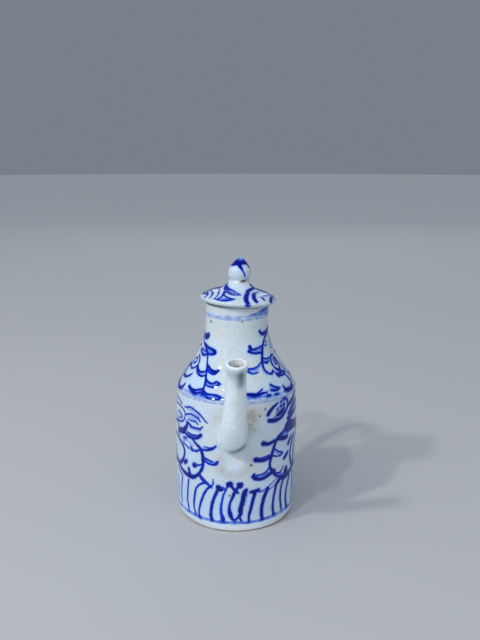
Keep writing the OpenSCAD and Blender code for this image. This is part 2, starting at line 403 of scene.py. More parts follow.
foot_edge = [(0, FOOT_RECESS), (FOOT_RING_IN - 2.2, FOOT_RECESS), (FOOT_RING_IN - 0.6, 1.2),
             (FOOT_RING_IN, 0.25), (FOOT_RING_IN + 0.5, 0), (33.0, 0), (33.5, 0.12)]
outer_wall = [(pot_radius(z), z) for z in steps_between(0.6, RIDGE_Z, ROW)]
inner_wall = [(RIDGE_R - WALL, RIDGE_Z)]
inner_wall += [(pot_radius(z) - WALL, z)
               for z in steps_between(RIDGE_Z - 4, FLOOR_T + FLOOR_ROUND + 3, 5)]
floor_in = FOOT_R - WALL - FLOOR_ROUND
inner_wall += [(floor_in + FLOOR_ROUND * math.cos(a), FLOOR_T + FLOOR_ROUND * (1 - math.sin(a)))
               for a in steps_between(0, math.pi / 2, math.pi / 12)]
inner_wall += [(floor_in / 2, FLOOR_T), (0, FLOOR_T)]


def on_outer_wall(co):
    """True on the painted outside, false on the inner wall, the floor and the foot."""
    return from_axis(co) > pot_radius(co.z / MM) - 0.6


belly_bm = throw(foot_edge + outer_wall + inner_wall, BELLY_STEPS)
warp_outside(belly_bm, lambda co: on_outer_wall(co) and co.z > FOOT_Z * MM)
belly = finish_mesh(belly_bm, "belly_shell")

# %% Strainer
STRAINER_HOLES = 7     # one in the middle and the others in a ring round it
STRAINER_R = 1.3
STRAINER_PITCH = 4.0
STRAINER_Z = 59.6
ROD_SIDES = 24


def rod(bm, centre, radius, length, turn):
    """A thin cylinder about a centre in millimetres, laid along the way that turn gives."""
    placed = Matrix.Translation(Vector(centre) * MM) @ turn
    bmesh.ops.create_cone(bm, cap_ends=True, segments=ROD_SIDES, radius1=radius * MM,
                          radius2=radius * MM, depth=length * MM, matrix=placed)


def cut(target, cutter_bm, name):
    """Cuts a bmesh out of a finished object for good."""
    cutter = finish_mesh(cutter_bm, name, smooth=False)
    mod = target.modifiers.new(name, "BOOLEAN")
    mod.operation = "DIFFERENCE"
    mod.solver = "EXACT"
    mod.object = cutter
    solid = bpy.data.meshes.new_from_object(target.evaluated_get(
        bpy.context.evaluated_depsgraph_get()))
    target.modifiers.clear()
    old = target.data
    target.data = solid
    solid.name = old.name
    bpy.data.meshes.remove(old)
    bpy.data.objects.remove(cutter)
    print(target.name, "after the cut", len(solid.polygons), "faces")


piercing = bmesh.new()
for k in range(STRAINER_HOLES):
    turn = math.tau * k / (STRAINER_HOLES - 1)
    out = STRAINER_PITCH if k else 0
    rod(piercing, (out * math.cos(turn), -BELLY_R + WALL, STRAINER_Z + out * math.sin(turn)),
        STRAINER_R, 3 * WALL, Matrix.Rotation(math.pi / 2, 4, "X"))
cut(belly, piercing, "piercing")

# %% [markdown]
# ## Shoulder and neck
# The shoulder was thrown upside down as a bottle without a floor, and luted on at the ridge.
# Its mouth is left unglazed, because the lid would otherwise be fired fast to it.

# %% Shoulder and neck
NECK_BORE = 16.0
CONE_WALL = 1.15 * WALL     # the cone leans, so its wall is thicker when measured level
CLOSE_ROWS_Z = 92      # below it the shoulder is widest, and its rows are closer
SHOULDER_STEPS = 400
shoulder_out = [(pot_radius(z), z) for z in steps_between(RIDGE_Z, CLOSE_ROWS_Z, ROW * 0.84)]
shoulder_out += [(pot_radius(z), z) for z in steps_between(CLOSE_ROWS_Z, MOUTH_Z - 0.9, ROW)[1:]]
lip = [(NECK_R - 0.08, MOUTH_Z - 0.5), (NECK_R - 0.35, MOUTH_Z - 0.15), (NECK_R - 0.8, MOUTH_Z),
       (NECK_BORE + 0.7, MOUTH_Z), (NECK_BORE + 0.2, MOUTH_Z - 0.25), (NECK_BORE, MOUTH_Z - 0.8)]
shoulder_in = [(NECK_BORE, z) for z in steps_between(MOUTH_Z - 3, NECK_SWEEP_Z - 4, 4)]
shoulder_in += [(max(NECK_BORE, pot_radius(z) - CONE_WALL), z)
                for z in steps_between(NECK_SWEEP_Z - 7, RIDGE_Z + 3, 3)]
shoulder_in += [(RIDGE_R - WALL, RIDGE_Z), (RIDGE_R, RIDGE_Z)]

shoulder_bm = throw(shoulder_out + lip + shoulder_in, SHOULDER_STEPS)
warp_outside(shoulder_bm, lambda co: on_outer_wall(co) and co.z > (RIDGE_Z + 1) * MM)
for v in shoulder_bm.verts:
    v.co = settle_neck(v.co)
shoulder = finish_mesh(shoulder_bm, "shoulder_shell")

# %% [markdown]
# ## Brushwork
# Cobalt blue was brushed on the raw clay under the glaze. An image texture could hold such a
# painting, but it would have to be painted somewhere else first. Here every stroke is written
# down as the brush went: a few points of angle, height and half width. The angle is in degrees
# round the pot from the spout, positive towards +X, and the other two are in millimetres. The
# first number of a stroke is how much cobalt the brush held, from 0 to 1.
#
# Each vertex of a wall then stores how far it lies outside the edge of the nearest stroke, and
# how much cobalt is there. A distance is a smooth quantity, so the material can draw a sharp
# edge through it even between vertices, and can also make a halo or a pool from it.

# %% Brush values and the run of a stroke
BRUSH_GAP = 0.6        # spacing of places along a stroke, in millimetres
BLEED = 0.12           # how far cobalt spreads in the glaze beside a stroke, in millimetres
REACH = 3.0            # how far from a stroke its edge distance is kept, in millimetres
DEGREE_MM = 0.6        # one degree round the belly
FINEST = 0.15          # the least half width that a brush can draw, in millimetres
THIN_SHARE = 0.8       # cobalt in a stroke's thinnest place, against its widest
OVERLAP = 0.3          # distance over which the cobalt of two strokes blends
TINY = 1e-9            # keeps a division away from nought
BATCH = 3000           # vertices that are measured at once


def flow(points):
    """A smooth run, as a Catmull-Rom curve, through rows of (angle, height, half width)."""
    rows = np.array(points, float)
    rows = np.vstack([2 * rows[0] - rows[1], rows, 2 * rows[-1] - rows[-2]])
    runs = []
    for a, b, c, d in zip(rows, rows[1:], rows[2:], rows[3:]):
        span = math.hypot((c[0] - b[0]) * DEGREE_MM, c[1] - b[1])
        t = np.linspace(0, 1, max(2, round(span / BRUSH_GAP)), endpoint=False)[:, None]
        runs.append(0.5 * (2 * b + (c - a) * t + (2 * a - 5 * b + 4 * c - d) * t ** 2
                           + (3 * b - a - 3 * c + d) * t ** 3))
    return np.vstack(runs + [rows[-2:-1]])

# %% Strokes on a wall
def on_wall(radius, strokes):
    """Lays strokes on a thrown wall, as a list of (load, places, half widths)."""
    laid = []
    for load, *points in strokes:
        run = flow(points)
        turn = np.radians(run[:, 0])
        r = np.array([radius(z) for z in run[:, 1]])
        places = np.column_stack([r * np.sin(turn), -r * np.cos(turn), run[:, 1]])
        laid.append((load, places, np.maximum(run[:, 2], FINEST) + BLEED))
    return laid


LINE_STEP = 8          # degrees between the places of a line round the pot
LINE_END = 184         # degrees from the spout at which it ends, just past its other end
UNSTEADY = 2.2         # how quickly the hand wavers on its way round


def wheel_line(load, z, half, drift, seed, sway=(0, 0)):
    """A line drawn round the turning pot, with the drift of a hand in height and width."""
    points = []
    for angle in range(-LINE_END, LINE_END + 1, LINE_STEP):
        front, across = math.cos(math.radians(angle)), math.sin(math.radians(angle))
        unsteady = noise.noise(Vector((UNSTEADY * front, UNSTEADY * across, seed)))
        height = z + sway[0] * across + sway[1] * across ** 2 + drift * unsteady
        points.append((angle, height, half * (1 + 0.5 * unsteady)))
    return (load, *points)


def round_the_back(strokes):
    """The same strokes once more, half a turn further round the pot."""
    return [(load, *[(a + 180, z, w) for a, z, w in points]) for load, *points in strokes]

# %% Numbers on the vertices
def vertex_places(piece):
    """All vertices of a piece as rows of millimetres."""
    flat = np.empty(3 * len(piece.data.vertices))
    piece.data.vertices.foreach_get("co", flat)
    return flat.reshape(-1, 3) / MM


def keep(piece, name, values):
    """Stores one number on each vertex."""
    stored = piece.data.attributes.new(name, "FLOAT", "POINT")
    stored.data.foreach_set("value", np.asarray(values, dtype=np.float32))


def brush(piece, name, laid):
    """Stores the distance outside the nearest stroke, and the cobalt there as name_load."""
    co = vertex_places(piece)
    away = np.full(len(co), REACH)
    total = np.full(len(co), TINY)
    cobalt = np.zeros(len(co))
    for load, places, halves in laid:
        inside = np.all((co > places.min(0) - REACH) & (co < places.max(0) + REACH), axis=1)
        near = inside.nonzero()[0]
        start, step = places[:-1], np.diff(places, axis=0)
        square = np.maximum((step ** 2).sum(1), TINY)
        heavy = load * (THIN_SHARE + (1 - THIN_SHARE) * halves[:-1] / halves.max())
        for part in np.array_split(near, len(near) // BATCH + 1):
            to = co[part][:, None, :] - start
            t = np.clip((to * step).sum(2) / square, 0, 1)
            edge = np.linalg.norm(to - t[..., None] * step, axis=2)
            edge -= halves[:-1] + t * np.diff(halves)
            closest = edge.argmin(1)
            gap = edge[np.arange(len(part)), closest]
            weight = np.exp(-np.clip(gap, -2, REACH) / OVERLAP)
            away[part] = np.minimum(away[part], gap)
            total[part] += weight
            cobalt[part] += weight * heavy[closest]
    keep(piece, name, away)
    keep(piece, name + "_load", cobalt / total)
    print(piece.name, name, len(laid), "strokes, covering", int((away < 0).sum()), "vertices")


def blush(piece, name, spots):
    """Stores soft round stains of (angle, height, radius, strength); pale ones are negative."""
    co = vertex_places(piece)
    stain = np.zeros(len(co))
    for angle, z, radius, strength in spots:
        turn, r = math.radians(angle), pot_radius(z)
        gap2 = ((co - [r * math.sin(turn), -r * math.cos(turn), z]) ** 2).sum(1)
        stain += strength * np.exp(-gap2 / radius ** 2)
    keep(piece, name, stain)

# %% [markdown]
# ## Two sprigs on the shoulder
# On each side of the spout a bent stem climbs the shoulder. Leaves hang from it in pairs, each
# drawn as an upper and a lower line that meet in a blob where the brush was pressed down. A
# spiral fills the space behind. The washes are the thinner second filling of the leaves.

# %% Left sprig
left_sprig = [
    (1.0, (-80, 113, 0.4), (-73, 110.4, 0.7), (-64, 109.6, 0.85), (-57, 111.3, 1.05),
     (-58, 112.2, 0.7)),
    (0.9, (-70, 111.3, 0.6), (-63, 111.4, 0.9)),
    (0.85, (-80, 110, 0.5), (-74, 108, 0.45), (-62, 105.4, 0.5), (-50, 102.4, 0.5),
     (-44.5, 98.4, 0.33), (-40.5, 95, 0.45), (-37, 91, 0.5), (-34.5, 87.6, 0.55), (-34, 84, 0.5),
     (-34.5, 81.6, 0.6)),
    (0.95, (-62, 106.4, 0.4), (-50, 104.9, 0.55), (-42, 104.5, 0.6), (-35.5, 103.6, 0.85),
     (-33.5, 102.9, 0.7)),
    (0.9, (-50, 102.2, 0.4), (-43, 101.6, 0.45), (-36, 102.2, 0.7), (-33.5, 103, 0.7)),
    (0.95, (-41, 96.2, 0.4), (-36, 94.9, 0.45), (-30, 93.6, 0.6), (-25.5, 93.4, 0.9),
     (-22.5, 94.2, 0.5)),
    (0.6, (-40, 94.7, 0.35), (-35, 93, 0.45), (-28, 92.1, 0.5), (-24, 93, 0.5)),
    (0.75, (-35, 89.2, 0.4), (-29.5, 87.9, 0.5), (-25, 87.7, 0.5), (-21.5, 88.7, 0.6),
     (-17, 87.9, 0.4)),
    (0.6, (-35, 87, 0.35), (-29, 86.1, 0.45), (-23, 86.1, 0.6), (-18, 87.5, 0.5)),
    (0.7, (-34, 83.8, 0.4), (-29, 82.3, 0.5), (-23, 82.3, 0.4), (-18, 82, 0.6),
     (-14.5, 81.4, 0.45)),
    (0.7, (-33, 82, 0.4), (-27.5, 80.4, 0.45), (-20, 79.9, 0.6), (-15.5, 80.6, 0.5)),
    (0.9, (-48, 101.3, 0.4), (-56, 100.3, 0.5), (-64, 101, 0.5), (-70, 102.6, 0.75)),
    (0.6, (-51, 103, 0.3), (-58, 102.6, 0.35), (-66, 103.4, 0.4)),
    (0.9, (-38.5, 93.2, 0.35), (-46, 92, 0.45), (-53, 92.6, 0.5), (-58.5, 94, 0.85)),
    (0.75, (-38, 90.8, 0.4), (-44, 90.2, 0.5), (-51, 91, 0.5), (-58, 93.4, 0.6)),
    (0.95, (-36, 84.2, 0.4), (-43, 82.9, 0.45), (-49, 82.8, 0.5), (-54, 83.6, 0.85)),
    (0.85, (-35, 82.8, 0.4), (-40, 81.6, 0.5), (-44, 81.2, 0.75), (-49, 82, 0.5), (-53, 83, 0.6)),
    (0.8, (-68, 99.2, 0.5), (-62, 97.8, 0.45), (-59, 95.4, 0.4), (-62, 93, 0.45),
     (-68, 91.8, 0.45), (-75, 92.8, 0.45), (-78, 95, 0.45), (-75, 97, 0.4), (-70, 97.6, 0.4),
     (-67, 96.2, 0.4), (-69, 94.6, 0.5), (-73, 94.8, 0.45)),
    (0.95, (-60, 89.7, 0.3), (-63, 88.4, 0.6), (-69, 87, 0.55), (-77, 87.2, 0.6),
     (-81, 89.6, 0.55)),
    (1.0, (-63, 83.6, 0.5), (-66, 81.6, 0.7), (-71, 80, 0.8), (-78, 81.6, 0.9), (-82, 84.6, 0.7),
     (-80, 86.6, 0.4)),
]
print("left sprig", len(left_sprig), "strokes")

# %% Left sprig, washes
left_sprig_wash = [
    (0.45, (-56, 104.4, 0.6), (-47, 103.4, 1.0), (-38, 103.3, 1.1)),
    (0.6, (-39, 95.3, 0.5), (-33, 93.7, 0.8), (-26, 93, 1.0)),
    (0.4, (-34, 88, 0.6), (-28, 87, 0.9), (-20, 87.7, 0.9)),
    (0.6, (-33, 82.9, 0.6), (-27, 81.4, 1.0), (-19, 81, 1.1)),
    (0.4, (-50, 101.8, 0.6), (-58, 101.6, 0.9), (-66, 102, 0.8)),
    (0.45, (-39, 92, 0.5), (-47, 91.2, 0.9), (-55, 92.6, 0.8)),
    (0.55, (-36, 83.4, 0.5), (-43, 82.2, 0.9), (-51, 82.9, 0.7)),
]
print("left sprig", len(left_sprig_wash), "washes")

# %% Right sprig
right_sprig = [
    (1.0, (84, 115.4, 0.7), (76, 114.6, 0.9), (66, 113.2, 1.0), (56, 112.6, 0.95),
     (49, 113, 0.75), (45.5, 114.4, 0.75)),
    (0.9, (70, 113, 0.8), (64, 111.5, 0.55), (57, 110, 0.5), (50.5, 107.4, 0.55),
     (46.5, 105, 0.65), (43, 102, 0.65), (40, 99.8, 0.7), (38, 97.2, 0.6), (37, 94.4, 0.55),
     (40, 92, 0.55), (45, 91.2, 0.5), (50, 92.2, 0.65)),
    (0.75, (46, 106.2, 0.4), (36, 105.4, 0.45), (28, 105, 0.5), (24, 105.4, 0.8),
     (22.5, 106.7, 0.95)),
    (0.8, (43, 102.6, 0.5), (33, 102.7, 0.5), (25, 103.2, 0.5), (20, 104.3, 0.8)),
    (0.55, (36, 97.8, 0.4), (30.5, 96.3, 0.4), (23, 95.3, 0.5), (15, 95.2, 0.5)),
    (0.5, (28, 93.2, 0.3), (21, 92.7, 0.45), (15.5, 93.6, 0.6), (12.5, 94.8, 0.5)),
    (1.0, (11, 83, 0.7), (15, 82.6, 0.9), (20, 82.3, 0.85), (25, 82.7, 0.6), (31, 82.9, 0.35)),
    (0.6, (19, 82.6, 0.4), (23.5, 83.9, 0.4), (27, 84.9, 0.3)),
    (0.95, (31, 81.3, 0.6), (34, 81.2, 0.5)),
    (0.85, (40, 81, 0.4), (43, 80.9, 0.45)),
    (0.55, (49, 106.7, 0.35), (54, 105.8, 0.3), (60, 106.2, 0.35)),
    (0.45, (52, 108.5, 0.3), (56, 107.6, 0.3), (60, 108, 0.3)),
    (0.6, (42, 99.9, 0.4), (47, 99, 0.4), (54, 99, 0.4)),
    (0.8, (40, 97.6, 0.4), (45, 96.9, 0.5), (50, 97.4, 0.4)),
    (0.8, (76, 110, 0.35), (74, 106.5, 0.4), (71.5, 103.4, 0.45)),
    (0.7, (88, 108, 0.5), (84, 103, 0.5), (80, 99.6, 0.45)),
    (0.9, (67, 99.8, 0.4), (60, 99.4, 0.55), (55.5, 97.4, 0.6), (55, 94.8, 0.6), (58, 92.4, 0.7),
     (63, 91.6, 0.75), (68, 92.8, 0.6), (70.5, 95.2, 0.55), (69, 97.6, 0.45), (65, 98.2, 0.4),
     (61.5, 97, 0.4), (62, 95, 0.45), (65.5, 94.6, 0.55)),
    (1.0, (66, 96.6, 0.55), (67.5, 96, 0.6)),
    (1.0, (53, 90.3, 0.7), (55, 89.3, 0.95), (60, 90, 0.7), (66, 90.4, 0.6), (72, 89.4, 0.6)),
    (0.7, (58, 88.6, 0.4), (64, 88.6, 0.4), (70, 88.3, 0.45)),
    (0.9, (37.5, 86.2, 0.5), (41.5, 84.9, 0.4), (47, 83.7, 0.4)),
    (0.9, (36.5, 83.5, 0.6), (41, 82.9, 0.55), (46.5, 83.2, 0.5)),
    (1.0, (54, 83.6, 0.55), (55.5, 81.8, 0.9), (60, 80.9, 1.1), (66, 81, 1.0), (72, 82, 0.9),
     (73, 84.4, 0.7), (70.5, 87, 0.6), (69, 89.6, 0.6)),
    (0.8, (82, 82, 0.6), (80, 86, 0.55), (77, 90, 0.5), (76, 94, 0.4)),
]
print("right sprig", len(right_sprig), "strokes")

# %% Right sprig, washes
right_sprig_wash = [
    (0.5, (43, 104.4, 0.6), (34, 104, 1.1), (24, 104.6, 1.3)),
    (0.4, (34, 96, 0.5), (25, 94.1, 1.0), (15, 94.4, 1.1)),
    (0.45, (41, 98.6, 0.6), (48, 98, 0.7), (53, 98.2, 0.5)),
    (0.55, (38, 85, 0.6), (43, 84, 0.9), (49, 83.6, 0.7)),
    (0.5, (52, 91.5, 0.6), (60, 89.4, 0.9), (70, 89, 0.8)),
    (0.22, (33, 93.6, 0.9), (35, 91.6, 1.1), (38, 88.6, 1.0), (37, 85.8, 0.8), (32, 83.4, 0.6)),
    (0.2, (42, 93, 0.5), (46, 90, 0.8), (42, 88, 0.8)),
]
print("right sprig", len(right_sprig_wash), "washes")

# %% [markdown]
# ## Two flowers on the belly
# Below the ridge two loose flowers turn towards the spout. Their petals and stems are thick at
# the right, where the brush was full, and thin and watery at the left.

# %% Left flower
left_flower = [
    (0.55, (-56, 71.2, 0.35), (-50, 72.2, 0.4), (-45.5, 72.5, 0.45), (-39.7, 71.3, 0.45),
     (-34, 69.5, 0.45), (-29.8, 67.2, 0.4), (-27, 65.8, 0.3)),
    (0.6, (-53.5, 67.2, 0.35), (-46.5, 68.6, 0.45), (-40.5, 68, 0.5), (-36.5, 67.2, 0.5),
     (-34.6, 65.8, 0.4)),
    (0.5, (-49.5, 64.9, 0.3), (-44, 64.8, 0.4), (-39.6, 64.9, 0.45), (-37, 63.8, 0.4)),
    (0.75, (-49.5, 63, 0.5), (-46, 61.8, 0.6), (-43, 61.2, 0.5), (-38, 61.5, 0.35),
     (-34.5, 61.4, 0.35), (-32, 63, 0.3)),
    (0.6, (-76, 70.4, 0.4), (-66, 70.6, 0.4), (-57.5, 69, 0.5), (-55, 66.8, 0.45), (-56, 64, 0.5),
     (-60, 61.9, 0.5), (-68, 61, 0.45), (-76, 62.6, 0.4)),
    (0.5, (-70, 67, 0.3), (-64, 66.4, 0.35), (-60, 65, 0.35), (-62, 63.6, 0.35),
     (-68, 63.2, 0.3)),
    (0.6, (-76, 74, 0.35), (-68, 73.6, 0.35), (-62, 72.2, 0.35)),
    (1.0, (-68, 54.6, 1.0), (-63, 56, 1.5), (-58, 56.6, 1.6), (-53.5, 59, 1.2), (-51, 61.8, 0.8),
     (-51.5, 63.2, 0.6)),
    (0.85, (-70, 60, 0.5), (-67, 56.6, 0.7), (-66, 52.2, 0.5)),
    (0.95, (-55, 56.2, 0.6), (-49, 54.9, 0.7), (-44, 54.7, 0.6), (-39, 55.2, 0.6),
     (-34.5, 57.2, 0.95), (-33.5, 57.9, 0.8)),
    (0.55, (-50, 57.2, 0.35), (-44, 56.6, 0.4), (-38, 56.9, 0.4)),
    (0.95, (-44, 54.2, 0.4), (-38.5, 51.8, 0.65), (-34, 49.8, 0.8), (-32, 47.2, 0.85),
     (-31.3, 44.2, 0.85), (-31.2, 41, 0.8), (-32.3, 38, 0.75), (-34.5, 35.4, 0.7),
     (-38, 32.9, 0.8), (-43.5, 30.9, 1.15), (-51, 30.9, 1.15), (-58, 31.9, 1.0),
     (-64, 33.8, 1.0), (-71, 37.2, 0.9)),
    (0.7, (-70, 32.3, 0.4), (-65, 30.2, 0.45), (-59, 28.4, 0.4)),
    (1.0, (-55, 37.6, 0.95), (-51.8, 39.2, 0.95)),
    (0.95, (-68, 50.6, 0.5), (-62, 49.2, 0.7), (-57.5, 47.4, 0.75), (-55, 44.8, 0.7),
     (-55.5, 42, 0.6), (-58, 38.6, 0.9), (-64, 35.6, 1.0), (-70, 35.4, 0.9)),
    (0.95, (-45.5, 49, 0.5), (-43.6, 47.4, 0.75)),
    (0.5, (-43, 47.2, 0.4), (-38.5, 47.6, 0.6), (-34.5, 49, 0.6)),
    (0.6, (-57, 49.8, 0.35), (-52, 48.6, 0.4), (-48.5, 47.6, 0.4)),
    (1.0, (-40.5, 39.6, 0.6), (-42, 38.2, 0.9), (-39.5, 38, 0.6)),
    (0.5, (-40, 39, 0.4), (-35.5, 39.4, 0.5), (-32, 40.6, 0.4)),
    (1.0, (-48.6, 35.2, 0.75), (-47.6, 33, 0.85), (-45, 31, 0.8)),
    (0.7, (-56, 53, 0.5), (-52, 53.4, 0.45)),
    (0.45, (-33, 49.6, 0.5), (-28.5, 49.5, 0.6), (-25, 50, 0.6)),
    (0.9, (-26.5, 49.9, 0.5), (-23.5, 50.6, 0.65), (-20.5, 51.6, 0.6), (-18.5, 52.8, 0.35)),
    (0.35, (-30, 51.6, 0.3), (-26, 51.4, 0.35), (-22, 51.8, 0.3)),
    (0.6, (-29.5, 44.9, 0.4), (-25.5, 43.9, 0.45), (-22, 43.2, 0.45)),
    (0.7, (-29.5, 42.9, 0.4), (-25, 41.6, 0.5), (-21, 41.5, 0.6), (-18, 42.4, 0.8),
     (-16.8, 43.6, 0.55)),
    (0.55, (-35, 34.2, 0.4), (-31.5, 32, 0.5), (-28, 30.2, 0.5), (-24.5, 28, 0.5)),
    (0.8, (-35.5, 32.8, 0.4), (-31, 30, 0.5), (-26.5, 28.8, 0.5), (-23.5, 27.6, 0.75)),
    (0.5, (-23, 27.6, 0.4), (-21.3, 30, 0.4), (-21.4, 32.4, 0.3)),
]
print("left flower", len(left_flower), "strokes")

# %% Left flower, washes
left_flower_wash = [
    (0.35, (-52, 71, 0.6), (-44, 70.6, 0.9), (-36, 68.6, 0.7)),
    (0.35, (-50, 66.2, 0.6), (-44, 66.6, 0.8), (-38, 65.8, 0.6)),
    (0.4, (-48, 60.6, 0.6), (-40, 60, 0.8), (-34, 60.8, 0.6)),
    (0.4, (-70, 65.4, 1.4), (-62, 64.6, 1.6)),
    (0.5, (-52, 57.4, 0.7), (-44, 55.8, 0.9), (-37, 56.6, 0.9)),
    (0.45, (-58, 51.6, 1.0), (-50, 51.6, 0.9), (-42, 50.6, 0.8)),
    (0.4, (-46, 48, 0.7), (-38, 48, 0.9)),
    (0.45, (-29.5, 43.9, 0.8), (-24, 42.6, 0.9), (-18.5, 42.9, 0.8)),
    (0.4, (-32, 50.6, 0.6), (-27, 50.4, 0.8), (-22, 51.2, 0.5)),
    (0.45, (-34.5, 33.4, 0.5), (-30, 31, 0.6), (-25, 28.6, 0.6)),
    (0.35, (-42, 39.6, 0.7), (-36, 39.6, 0.8)),
]
print("left flower", len(left_flower_wash), "washes")

# %% Right flower
right_flower = [
    (1.0, (30, 70.2, 0.8), (32, 72, 0.9), (35, 73.6, 0.75), (38.5, 74.8, 0.6), (42, 75.9, 0.35)),
    (1.0, (31, 66.7, 1.0), (36, 66.3, 1.1), (41, 66.2, 0.95), (46, 67, 0.75), (50, 68.4, 0.7),
     (53.5, 70.2, 0.75), (56, 72.6, 0.8), (56.2, 75, 0.75), (54, 76.6, 0.6), (49.5, 77, 0.5)),
    (1.0, (41, 68.8, 0.7), (44.5, 69.5, 1.1), (48, 70.4, 1.1), (50.5, 71.8, 0.6)),
    (0.9, (50, 73.6, 0.65), (50.6, 73.9, 0.5)),
    (0.9, (46, 75.9, 0.55), (46.8, 76.2, 0.5)),
    (0.8, (45, 73.4, 0.5), (47, 73.8, 0.4)),
    (0.7, (40.5, 71.8, 0.4), (41, 72.8, 0.35)),
    (1.0, (56, 71.8, 0.6), (61, 73.2, 1.0), (67, 74.4, 1.05), (74, 76, 0.9)),
    (0.7, (61, 70, 0.4), (66, 71, 0.5), (74, 72.6, 0.45)),
    (1.0, (57, 67.6, 0.5), (62, 68.6, 0.95), (68, 70, 1.0), (76, 71.4, 0.9)),
    (1.0, (56, 64.5, 1.1), (60, 65, 1.15), (66, 65.9, 1.0), (73, 67.2, 0.9)),
    (0.8, (60, 66.8, 0.5), (66, 67.8, 0.5)),
    (1.0, (52.5, 58.4, 1.4), (54, 60.4, 1.8), (58, 61.2, 1.9), (63, 60.6, 1.8),
     (70, 59.4, 1.6)),
    (1.0, (55.5, 56.8, 0.9), (60, 57.6, 1.3), (66, 57.8, 1.3), (72, 57.4, 1.2)),
    (1.0, (54, 60, 1.0), (50, 58.4, 0.8), (46, 57, 0.75), (42, 55.6, 0.85), (39, 53.4, 0.85),
     (36.8, 50.4, 0.8), (35, 46.8, 0.95), (33.4, 43.6, 0.8), (32.5, 40.6, 0.65), (33, 38, 0.7),
     (35, 36, 1.0), (37.2, 35.2, 1.35)),
    (1.0, (25.4, 53.7, 1.35), (28, 53.2, 1.0), (32, 53, 0.85), (36.5, 54, 0.8)),
    (1.0, (41, 55, 0.9), (45, 54.3, 1.25), (50, 53.6, 1.25), (55, 53.6, 0.95)),
    (1.0, (18, 44.6, 1.35), (21, 44.1, 1.2), (26, 43.4, 0.8), (31, 44.2, 0.85),
     (34.5, 45.6, 0.9)),
    (0.4, (24, 45.2, 0.5), (28, 45.4, 0.5), (31, 46, 0.5)),
    (0.7, (36.8, 49.2, 0.4), (42, 46.8, 0.35), (48, 45, 0.4), (47.5, 44.2, 0.5), (45, 43.6, 0.4),
     (40.5, 43.9, 0.35), (36, 45, 0.4)),
    (1.0, (51, 40.9, 1.0), (54, 42, 1.15), (56.5, 43.3, 0.9)),
    (1.0, (57.5, 48.8, 1.0), (60, 50.6, 1.0), (63, 52.3, 0.7)),
    (1.0, (69, 52, 0.9), (66, 49.6, 0.85), (63.5, 46, 0.85), (61.8, 41.4, 0.75), (63.5, 37, 0.9),
     (67, 33.4, 1.1)),
    (0.95, (78, 54, 0.8), (74, 49.6, 0.75), (71, 45, 0.7), (70, 40, 0.75), (71, 34, 0.9)),
    (1.0, (65, 31, 1.2), (69, 32, 1.4)),
    (1.0, (15.6, 34.4, 0.9), (18, 33, 0.9), (21, 32.3, 0.8), (25.5, 32.2, 0.8), (30, 33.3, 0.8),
     (34, 34.4, 0.9)),
    (0.9, (16, 35.2, 0.7), (17, 36, 0.4)),
    (0.6, (17.5, 34.8, 0.5), (22, 35, 0.4), (27, 35.6, 0.4), (30.5, 37.2, 0.4), (32.4, 39, 0.4)),
    (0.7, (38, 34.4, 0.4), (41, 33.4, 0.45), (45, 33, 0.5), (48, 34.2, 0.4), (50, 36, 0.3)),
    (0.8, (36, 34, 0.4), (40, 31.8, 0.45), (44, 30.8, 0.5)),
    (1.0, (55, 34, 1.2), (54.4, 32.2, 1.8), (55.5, 30.6, 1.5)),
    (1.0, (45, 30, 1.0), (49, 29.2, 1.3), (54, 28.6, 1.2), (60, 29.4, 1.0), (66, 30.6, 1.0)),
    (1.0, (44, 27.8, 1.1), (45.5, 29.6, 1.0)),
    (0.34, (42, 30.6, 0.3), (37, 28.4, 0.35), (30, 26, 0.4), (22, 23.8, 0.45)),
    (0.3, (41, 27.6, 0.3), (36, 25.2, 0.35), (28, 23.2, 0.35)),
]
print("right flower", len(right_flower), "strokes")

# %% Right flower, washes
right_flower_wash = [
    (0.5, (18, 44.2, 1.0), (25, 44.4, 1.1), (32, 45, 1.0)),
    (0.5, (17, 34.2, 1.0), (23, 33.6, 1.4), (30, 34.8, 1.2)),
    (0.35, (38, 48, 0.8), (43, 45.4, 1.1), (46, 44.4, 0.6)),
    (0.45, (38, 68, 0.9), (44, 72, 1.6), (50, 74.6, 1.8)),
    (0.5, (58, 67, 1.5), (66, 70.6, 1.6), (74, 73.4, 1.2)),
    (0.5, (58, 58.4, 1.5), (66, 58.6, 1.5)),
    (0.4, (40, 54, 1.0), (48, 55.4, 1.2), (54, 56, 1.2)),
    (0.5, (40, 33, 0.8), (46, 31.4, 1.2), (54, 30.6, 1.4), (62, 31, 1.2)),
]
print("right flower", len(right_flower_wash), "washes")

# %% [markdown]
# ## Lappets
# A row of long hooked strokes stands round the foot. A painter pulls each one down in a single
# move, so no two are alike, and they lean a little towards the front.

